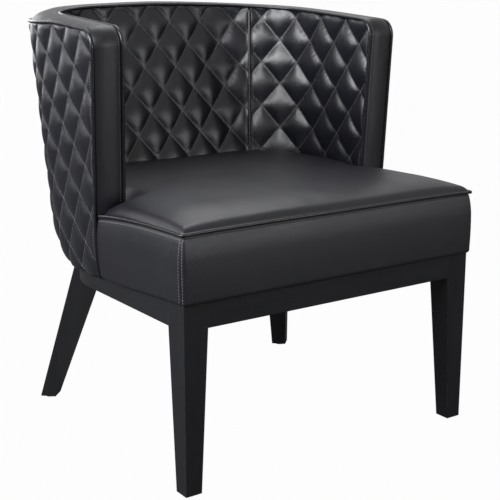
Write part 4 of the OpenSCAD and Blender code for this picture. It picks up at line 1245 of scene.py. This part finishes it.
class Tree:
    """Short way to add nodes to a node tree and to join them."""

    def __init__(self, tree):
        self.tree = tree

    def feed(self, node, inputs):
        """Joins sockets to a node's inputs and sets plain values on them."""
        for name, value in inputs.items():
            if isinstance(value, bpy.types.NodeSocket):
                self.tree.links.new(value, node.inputs[name])
            else:
                node.inputs[name].default_value = value

    def add(self, kind, inputs=None, **settings):
        node = self.tree.nodes.new(kind)
        for name, value in settings.items():
            setattr(node, name, value)
        self.feed(node, inputs or {})
        return node

    def maths(self, operation, a, b=0.0, c=0.0):
        return self.add("ShaderNodeMath", {0: a, 1: b, 2: c}, operation=operation).outputs[0]

    def spread(self, value, low, high, to_low=0.0, to_high=1.0):
        return self.add("ShaderNodeMapRange", {"Value": value, "From Min": low, "From Max": high,
                                               "To Min": to_low, "To Max": to_high}).outputs["Result"]

    def noise(self, place, scale, detail=2.0):
        inputs = {"Vector": place, "Scale": scale, "Detail": detail}
        return self.add("ShaderNodeTexNoise", inputs).outputs["Fac"]

    def colour(self, factor, a, b):
        return self.add("ShaderNodeMix", {0: factor, 6: a, 7: b}, data_type="RGBA").outputs[2]


def rgba(colour, factor=1.0):
    """Colour with full alpha, dimmed by a factor."""
    return (*(c * factor for c in colour), 1.0)


def new_group(name, inputs, outputs):
    """Empty shader node group with named sockets; returns it with its tree and its two ends."""
    group = bpy.data.node_groups.new(name, "ShaderNodeTree")
    for kind, label in inputs:
        group.interface.new_socket(name=label, in_out="INPUT", socket_type=kind)
    for kind, label in outputs:
        group.interface.new_socket(name=label, in_out="OUTPUT", socket_type=kind)
    tree = Tree(group)
    return group, tree, tree.add("NodeGroupInput"), tree.add("NodeGroupOutput")


def leather_grain():
    """Pebbled grain of coated leather: small cells, finer pores and a slow unevenness of gloss."""
    if "Leather grain" in bpy.data.node_groups:
        return bpy.data.node_groups["Leather grain"]
    group, tree, given, result = new_group(
        "Leather grain", [("NodeSocketVector", "Place"), ("NodeSocketFloat", "Cells per metre")],
        [("NodeSocketFloat", "Height"), ("NodeSocketFloat", "Gloss")])
    place, cells = given.outputs["Place"], given.outputs["Cells per metre"]
    warp = tree.add("ShaderNodeTexNoise", {"Vector": place, "Scale": 210.0, "Detail": 1.0}).outputs["Color"]
    bent = tree.add("ShaderNodeMix", data_type="VECTOR")
    tree.feed(bent, {0: 0.0012, 4: place, 5: warp})
    cell = tree.add("ShaderNodeTexVoronoi", {"Vector": bent.outputs[1], "Scale": cells},
                    feature="SMOOTH_F1").outputs["Distance"]
    pores = tree.noise(place, 2600.0, 2.0)
    pebbles = tree.spread(cell, 0.15, 0.75, 1.0, 0.0)
    height = tree.maths("MULTIPLY_ADD", pores, 0.35, tree.maths("MULTIPLY", pebbles, 0.65))
    slow = tree.noise(place, 16.0, 3.0)
    fine = tree.noise(place, 130.0, 2.0)
    gloss = tree.maths("MULTIPLY_ADD", fine, 0.4, tree.maths("MULTIPLY", slow, 0.6))
    tree.feed(result, {"Height": height, "Gloss": gloss})
    return group


def wood_grain():
    """Grain along one axis: noise drawn out lengthwise, with a few darker pores."""
    if "Wood grain" in bpy.data.node_groups:
        return bpy.data.node_groups["Wood grain"]
    group, tree, given, result = new_group(
        "Wood grain", [("NodeSocketVector", "Place"), ("NodeSocketVector", "Stretch")],
        [("NodeSocketFloat", "Height"), ("NodeSocketFloat", "Tone")])
    drawn = tree.add("ShaderNodeVectorMath", operation="MULTIPLY")
    tree.feed(drawn, {0: given.outputs["Place"], 1: given.outputs["Stretch"]})
    fibres = tree.noise(drawn.outputs[0], 320.0, 4.0)
    rings = tree.noise(drawn.outputs[0], 60.0, 2.0)
    pores = tree.spread(tree.noise(drawn.outputs[0], 620.0, 1.0), 0.58, 0.72, 0.0, 1.0)
    height = tree.maths("SUBTRACT", fibres, tree.maths("MULTIPLY", pores, 0.6))
    tone = tree.maths("MULTIPLY_ADD", rings, 0.6, tree.maths("MULTIPLY", fibres, 0.4))
    tree.feed(result, {"Height": height, "Tone": tone})
    return group


def new_material(name):
    """Material with an empty tree, its object coordinates and a Principled shader."""
    material = bpy.data.materials.new(name)
    material.use_nodes = True
    material.node_tree.nodes.clear()
    tree = Tree(material.node_tree)
    place = tree.add("ShaderNodeTexCoord").outputs["Object"]
    shader = tree.add("ShaderNodeBsdfPrincipled")
    end = tree.add("ShaderNodeOutputMaterial")
    tree.feed(end, {0: shader.outputs[0]})
    return material, tree, place, shader


def leather(name, colour, rough, grain_depth, seams=False):
    """Coated leather: grain in its bump, uneven gloss, and duller stitched valleys with painted shade in
    them.
    """
    material, tree, place, shader = new_material(name)
    grain = tree.add("ShaderNodeGroup", node_tree=leather_grain())
    tree.feed(grain, {"Place": place, "Cells per metre": 720.0})
    gloss = tree.spread(grain.outputs["Gloss"], 0.3, 0.7, rough - 0.035, rough + 0.045)
    tone = tree.colour(grain.outputs["Gloss"], rgba(colour, 0.85), rgba(colour, 1.2))
    if seams:
        # Painted shade: the leather darkens towards 0.3 of its colour along the seams and sewn edges
        seam = tree.add("ShaderNodeAttribute", attribute_name="seam").outputs["Fac"]
        tone = tree.colour(tree.maths("MULTIPLY", seam, 0.6), tone, rgba(colour, 0.3))
        gloss = tree.maths("MULTIPLY_ADD", seam, 0.12, gloss)
    bump = tree.add("ShaderNodeBump", {"Height": grain.outputs["Height"], "Distance": grain_depth,
                                       "Strength": 1.0})
    tree.feed(shader, {"Base Color": tone, "Roughness": gloss, "Normal": bump.outputs[0]})
    return material


def sewing_thread(colour):
    """Twisted, slightly glossy thread: fine slanting bands in its bump, and painted shade and light along
    the same bands.
    """
    material, tree, place, shader = new_material("Sewing thread")
    twist = tree.add("ShaderNodeTexWave", {"Vector": place, "Scale": 900.0, "Distortion": 1.0},
                     bands_direction="DIAGONAL")
    bump = tree.add("ShaderNodeBump", {"Height": twist.outputs["Fac"], "Distance": 0.0001})
    # Painted shade and light: the colour follows the twist's bands, darker in their hollows and lighter on
    # their ridges
    tone = tree.colour(twist.outputs["Fac"], rgba(colour, 0.7), rgba(colour, 1.2))
    tree.feed(shader, {"Base Color": tone, "Normal": bump.outputs[0], "Roughness": 0.38})
    return material


def painted_wood(name, colours, stretch):
    """Black satin paint over wood: faint grain, uneven gloss, and a painted highlight in patches along the
    rounded edges.
    """
    material, tree, place, shader = new_material(name)
    grain = tree.add("ShaderNodeGroup", node_tree=wood_grain())
    tree.feed(grain, {"Place": place, "Stretch": stretch})
    round_edge = tree.add("ShaderNodeBevel", {"Radius": 0.0014}, samples=6)
    plain = tree.add("ShaderNodeNewGeometry").outputs["Normal"]
    facing = tree.add("ShaderNodeVectorMath", operation="DOT_PRODUCT")
    tree.feed(facing, {0: round_edge.outputs[0], 1: plain})
    # Painted highlight: the paint turns lighter where the rounded edge bends the normal, broken into
    # patches
    edge = tree.spread(facing.outputs["Value"], 0.97, 0.86, 0.0, 1.0)
    patchy = tree.spread(tree.noise(place, 90.0, 3.0), 0.42, 0.68, 0.15, 0.9)
    edge_highlight = tree.maths("MULTIPLY", edge, patchy)
    tone = tree.colour(grain.outputs["Tone"], rgba(colours.wood, 0.8), rgba(colours.wood, 1.25))
    tone = tree.colour(edge_highlight, tone, rgba(colours.edge_highlight))
    gloss = tree.spread(grain.outputs["Tone"], 0.3, 0.7, 0.40, 0.52)
    bump = tree.add("ShaderNodeBump", {"Height": grain.outputs["Height"], "Distance": 0.00012,
                                       "Strength": 0.6, "Normal": round_edge.outputs[0]})
    tree.feed(shader, {"Base Color": tone, "Roughness": gloss, "Specular IOR Level": 0.3,
                       "Normal": bump.outputs[0]})
    return material


def raw_plywood(colours):
    """Raw plywood: grain on its faces and thin dark glue lines between its layers."""
    material, tree, place, shader = new_material("Raw plywood")
    grain = tree.add("ShaderNodeGroup", node_tree=wood_grain())
    tree.feed(grain, {"Place": place, "Stretch": (0.12, 1.0, 1.0)})
    height = tree.add("ShaderNodeSeparateXYZ", {0: place}).outputs["Z"]
    layer = tree.maths("FRACT", tree.maths("MULTIPLY", height, 420.0))
    glue = tree.spread(layer, 0.0, 0.12, 1.0, 0.0)
    tone = tree.colour(grain.outputs["Tone"], rgba(colours.plywood, 0.75), rgba(colours.plywood, 1.15))
    tone = tree.colour(tree.maths("MULTIPLY", glue, 0.5), tone, rgba(colours.plywood, 0.35))
    bump = tree.add("ShaderNodeBump", {"Height": grain.outputs["Height"], "Distance": 0.0003})
    tree.feed(shader, {"Base Color": tone, "Normal": bump.outputs[0], "Roughness": 0.75})
    return material


def open_foam(colours):
    """Open-celled foam: round pores in its bump, with painted shade in them."""
    material, tree, place, shader = new_material("Open foam")
    cell = tree.add("ShaderNodeTexVoronoi", {"Vector": place, "Scale": 700.0}).outputs["Distance"]
    # Painted shade: the foam is darker in its pores
    pore_shade = tree.spread(cell, 0.1, 0.6, 1.0, 0.0)
    bump = tree.add("ShaderNodeBump", {"Height": cell, "Distance": 0.0006})
    tone = tree.colour(pore_shade, rgba(colours.foam), rgba(colours.foam, 0.6))
    tree.feed(shader, {"Base Color": tone, "Normal": bump.outputs[0], "Roughness": 0.95})
    return material


def zinc_steel(colours):
    """Zinc-plated steel with fine turning marks."""
    material, tree, place, shader = new_material("Zinc steel")
    marks = tree.noise(place, 1500.0, 2.0)
    bump = tree.add("ShaderNodeBump", {"Height": marks, "Distance": 0.00005})
    tree.feed(shader, {"Roughness": tree.spread(marks, 0.3, 0.7, 0.25, 0.42),
                       "Normal": bump.outputs[0], "Base Color": rgba(colours.steel),
                       "Metallic": 1.0})
    return material


def moulded_plastic(colours):
    """Black plastic of the glides, scuffed where it slides."""
    material, tree, place, shader = new_material("Glide plastic")
    scuff = tree.noise(place, 240.0, 4.0)
    bump = tree.add("ShaderNodeBump", {"Height": scuff, "Distance": 0.0001})
    tone = tree.colour(scuff, rgba(colours.glide, 0.7), rgba(colours.glide, 1.8))
    tree.feed(shader, {"Base Color": tone, "Roughness": tree.spread(scuff, 0.3, 0.7, 0.45, 0.7),
                       "Normal": bump.outputs[0]})
    return material


def dust_cloth(colours):
    """Non-woven cloth: a bonded dot pattern over matted fibres."""
    material, tree, place, shader = new_material("Dust cloth")
    dots = tree.add("ShaderNodeTexVoronoi", {"Vector": place, "Scale": 330.0,
                                             "Randomness": 0.1}).outputs["Distance"]
    fibres = tree.noise(place, 900.0, 4.0)
    height = tree.maths("MULTIPLY_ADD", fibres, 0.4, dots)
    bump = tree.add("ShaderNodeBump", {"Height": height, "Distance": 0.0003})
    tone = tree.colour(fibres, rgba(colours.cloth, 0.6), rgba(colours.cloth, 1.6))
    tree.feed(shader, {"Base Color": tone, "Normal": bump.outputs[0], "Roughness": 0.9})
    return material


def dress_node(name, material):
    """Gives a CAD node that stays as it is its material."""
    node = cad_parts[name]
    node.data.materials.clear()
    node.data.materials.append(material)


# Soft boxes round the chair: name, turn and rise in degrees, width and height, power
LIGHTS = (
    ("Left box", 176, 25, (1.3, 0.9), 84),
    ("Left rear box", 138, 18, (1.1, 0.8), 5),
    ("Left front box", -150, 36, (1.3, 1.0), 45),
    ("Front box", -68, 8, (1.3, 0.8), 15),
    ("Rear box", 60, 60, (1.6, 1.3), 23),
    ("Back box", 96, 14, (1.6, 1.0), 18),
    ("Low rear box", 50, 38, (1.6, 0.7), 4),
)
LIGHT_COLOUR = 0.97, 0.98, 1.0
# Point that the lights look at, and their distance from it
AIM = Vector((0, 0, 0.45))
LIGHT_DISTANCE = 2.7
# Half of the floor's width, wide enough to hide its far edge
FLOOR_HALF = 80.0


def hang_light(name, turn, rise, size, watts):
    """Soft box that looks at AIM from a turn about Z and a rise above the level, in degrees."""
    turn, rise = math.radians(turn), math.radians(rise)
    way = Vector((math.cos(turn) * math.cos(rise), math.sin(turn) * math.cos(rise), math.sin(rise)))
    data = bpy.data.lights.new(name, "AREA")
    data.shape, data.size, data.size_y = "RECTANGLE", size[0], size[1]
    data.energy, data.color = watts, LIGHT_COLOUR
    lamp = bpy.data.objects.new(name, data)
    bpy.context.scene.collection.objects.link(lamp)
    lamp.location = AIM + LIGHT_DISTANCE * way
    lamp.rotation_euler = (-way).to_track_quat("-Z", "Y").to_euler()


def light_room(stage):
    """World: white where the camera looks, paler in the gloss, and a dim room for all other light."""
    world = bpy.data.worlds.new("Studio")
    bpy.context.scene.world = world
    world.use_nodes = True
    world.node_tree.nodes.clear()
    tree = Tree(world.node_tree)
    rays = tree.add("ShaderNodeLightPath")
    seen = tree.maths("MAXIMUM", rays.outputs["Is Camera Ray"], rays.outputs["Is Transmission Ray"])
    glossy = tree.maths("MULTIPLY", rays.outputs["Is Glossy Ray"], stage.mirror)
    seen = tree.maths("MAXIMUM", seen, glossy)
    tone = tree.colour(seen, rgba(stage.sky), (1, 1, 1, 1))
    glow = tree.add("ShaderNodeBackground", {"Color": tone, "Strength": 1.0})
    end = tree.add("ShaderNodeOutputWorld")
    tree.feed(end, {0: glow.outputs[0]})


def lay_floor(stage):
    """Floor that the camera sees as nearly white, with the chair's shadow still on it."""
    ends = FLOOR_HALF * np.array([[-1, -1, 0], [1, -1, 0], [1, 1, 0], [-1, 1, 0]])
    floor = put_mesh("studio_floor", ends, np.array([[0, 1, 2, 3]]))
    material, tree, place, shader = new_material("Studio floor")
    speckle = tree.noise(place, 60.0, 3.0)
    tone = tree.colour(speckle, rgba(stage.floor, 0.97), rgba(stage.floor))
    tree.feed(shader, {"Base Color": tone, "Roughness": 0.9, "Specular IOR Level": 0.1})
    rays = tree.add("ShaderNodeLightPath")
    seen = tree.maths("MAXIMUM", rays.outputs["Is Camera Ray"], rays.outputs["Is Transmission Ray"])
    glossy = tree.maths("MULTIPLY", rays.outputs["Is Glossy Ray"], stage.floor_mirror)
    seen = tree.maths("MAXIMUM", seen, glossy)
    white = tree.add("ShaderNodeEmission", {"Color": (1, 1, 1, 1), "Strength": 1.0})
    blend = tree.add("ShaderNodeMixShader", {0: tree.maths("MULTIPLY", seen, stage.white)})
    tree.feed(blend, {1: shader.outputs[0], 2: white.outputs[0]})
    end = next(n for n in tree.tree.nodes if n.type == "OUTPUT_MATERIAL")
    tree.feed(end, {0: blend.outputs[0]})
    floor.data.materials.append(material)


def place_camera(stage):
    """Camera at the photograph's angle: turned right about Z and tilted down."""
    data = bpy.data.cameras.new("Camera")
    data.lens, data.sensor_width, data.shift_x = stage.lens, 36.0, stage.shift
    data.clip_start, data.clip_end = 0.05, 100.0
    camera = bpy.data.objects.new("Camera", data)
    bpy.context.scene.collection.objects.link(camera)
    camera.location = stage.eye
    camera.rotation_euler = (math.pi / 2 - stage.dip, 0, -stage.turn)
    bpy.context.scene.camera = camera


def materials_of(colours):
    """The leathers and the thread, made once and shared."""
    made = bpy.data.materials
    if "Quilted leather" not in made:
        leather("Quilted leather", colours.leather, 0.31, 0.00018, seams=True)
        leather("Plain leather", colours.leather, 0.42, 0.00018, seams=True)
        leather("Welt leather", colours.welt, 0.28, 0.00010)
        sewing_thread(colours.thread)
    return made["Quilted leather"], made["Plain leather"], made["Welt leather"], made["Sewing thread"]


class CHAIR_OT_frame_finish(bpy.types.Operator):
    """Paints the legs and rails and finishes the frame, bolts, glides and dust cloth"""
    bl_idname = "chair.frame_finish"
    bl_label = "Frame finish"

    def execute(self, context):
        colours = context.scene.chair_colours
        upright = painted_wood("Painted wood, upright", colours, (1.0, 1.0, 0.08))
        across = painted_wood("Painted wood, across", colours, (0.08, 1.0, 1.0))
        along = painted_wood("Painted wood, lengthwise", colours, (1.0, 0.08, 1.0))
        ply = raw_plywood(colours)
        finishes = {
            upright: ["front_leg_left", "front_leg_right", "rear_leg_left", "rear_leg_right"],
            across: ["front_rail", "rear_rail", "seat_panel"],
            along: ["side_rail_left", "side_rail_right"],
            ply: ["front_corner_blocks", "rear_corner_blocks", "base_ring", "arm_post_left",
                  "arm_post_right", "back_posts", "top_hoop_left", "top_hoop_back", "top_hoop_right"],
            zinc_steel(colours): ["leg_bolts"],
            moulded_plastic(colours): ["foot_glides"],
            dust_cloth(colours): ["dust_cover"],
        }
        for material, names in finishes.items():
            for name in names:
                dress_node(name, material)
        return {"FINISHED"}


class CHAIR_OT_outer_panels(bpy.types.Operator):
    """Sews the quilted outer back and outer sides"""
    bl_idname = "chair.outer_panels"
    bl_label = "Outer panels"

    def execute(self, context):
        wall = Wall(context.scene)
        quilted, _, _, thread = materials_of(context.scene.chair_colours)
        runs = []
        for panel in panels_of(wall)[1]:
            sew_panel(panel, quilted)
            runs += quilt_stitches(panel) + (edge_rows(panel) if panel.side else [])
        put_stitches("outer_quilt_thread", runs, wall.trim, thread)
        return {"FINISHED"}


class CHAIR_OT_inner_panels(bpy.types.Operator):
    """Sews the quilted inner back and its two wings"""
    bl_idname = "chair.inner_panels"
    bl_label = "Inner panels"

    def execute(self, context):
        wall = Wall(context.scene)
        quilted, _, _, thread = materials_of(context.scene.chair_colours)
        runs = []
        for panel in panels_of(wall)[0]:
            sew_panel(panel, quilted)
            runs += quilt_stitches(panel) + edge_rows(panel)
        put_stitches("inner_quilt_thread", runs, wall.trim, thread)
        return {"FINISHED"}


class CHAIR_OT_border(bpy.types.Operator):
    """Covers the rim and the arm fronts with the plain border, its welts and its topstitching"""
    bl_idname = "chair.border"
    bl_label = "Border and welts"

    def execute(self, context):
        wall = Wall(context.scene)
        _, plain, welt, thread = materials_of(context.scene.chair_colours)
        sew_border(wall, plain)
        sew_welts(wall, welt)
        put_stitches("border_thread", border_rows(wall), wall.trim, thread)
        return {"FINISHED"}


class CHAIR_OT_seat(bpy.types.Operator):
    """Upholsters the seat: foam, crowned top, bands, welt and topstitching"""
    bl_idname = "chair.seat"
    bl_label = "Seat"

    def execute(self, context):
        wall = Wall(context.scene)
        _, plain, welt, thread = materials_of(context.scene.chair_colours)
        seat = Seat(wall)
        bands = Bands(seat)
        cut_foam(seat, open_foam(context.scene.chair_colours))
        sew_seat(seat, plain)
        sew_bands(bands, plain)
        sew_seat_welt(seat, welt)
        put_stitches("seat_thread", band_rows(bands), wall.trim, thread)
        return {"FINISHED"}


class CHAIR_OT_stage(bpy.types.Operator):
    """Sets the floor, the lights and the camera"""
    bl_idname = "chair.stage"
    bl_label = "Stage"

    def execute(self, context):
        stage = context.scene.chair_stage
        context.scene.view_settings.view_transform = "Standard"
        light_room(stage)
        lay_floor(stage)
        place_camera(stage)
        for light in LIGHTS:
            hang_light(*light)
        return {"FINISHED"}


class CHAIR_PT_workshop(bpy.types.Panel):
    """Lists the steps of the chair in the sidebar"""
    bl_idname = "CHAIR_PT_workshop"
    bl_label = "Quilted tub chair"
    bl_space_type = "VIEW_3D"
    bl_region_type = "UI"
    bl_category = "Chair"

    def draw(self, context):
        for operator in OPERATORS:
            self.layout.operator(operator.bl_idname)
        for name in GROUPS:
            box = self.layout.box()
            for key in getattr(context.scene, name).bl_rna.properties.keys():
                if key not in ("rna_type", "name"):
                    box.prop(getattr(context.scene, name), key)


GROUPS = {
    "chair_shell": ShellSizes,
    "chair_quilt": QuiltSizes,
    "chair_seat": SeatSizes,
    "chair_trim": TrimSizes,
    "chair_cloth": ClothSizes,
    "chair_colours": FinishColours,
    "chair_stage": StageSizes,
}
OPERATORS = (CHAIR_OT_frame_finish, CHAIR_OT_outer_panels, CHAIR_OT_inner_panels, CHAIR_OT_border,
             CHAIR_OT_seat, CHAIR_OT_stage)


def register():
    for name, group in GROUPS.items():
        bpy.utils.register_class(group)
        setattr(bpy.types.Scene, name, PointerProperty(type=group))
    for item in (*OPERATORS, CHAIR_PT_workshop):
        bpy.utils.register_class(item)


def unregister():
    for item in (CHAIR_PT_workshop, *reversed(OPERATORS)):
        bpy.utils.unregister_class(item)
    for name, group in reversed(GROUPS.items()):
        delattr(bpy.types.Scene, name)
        bpy.utils.unregister_class(group)


def main():
    """Makes every piece in order."""
    register()
    for operator in OPERATORS:
        space, step = operator.bl_idname.split(".")
        getattr(getattr(bpy.ops, space), step)()


if __name__ == "__main__":
    main()
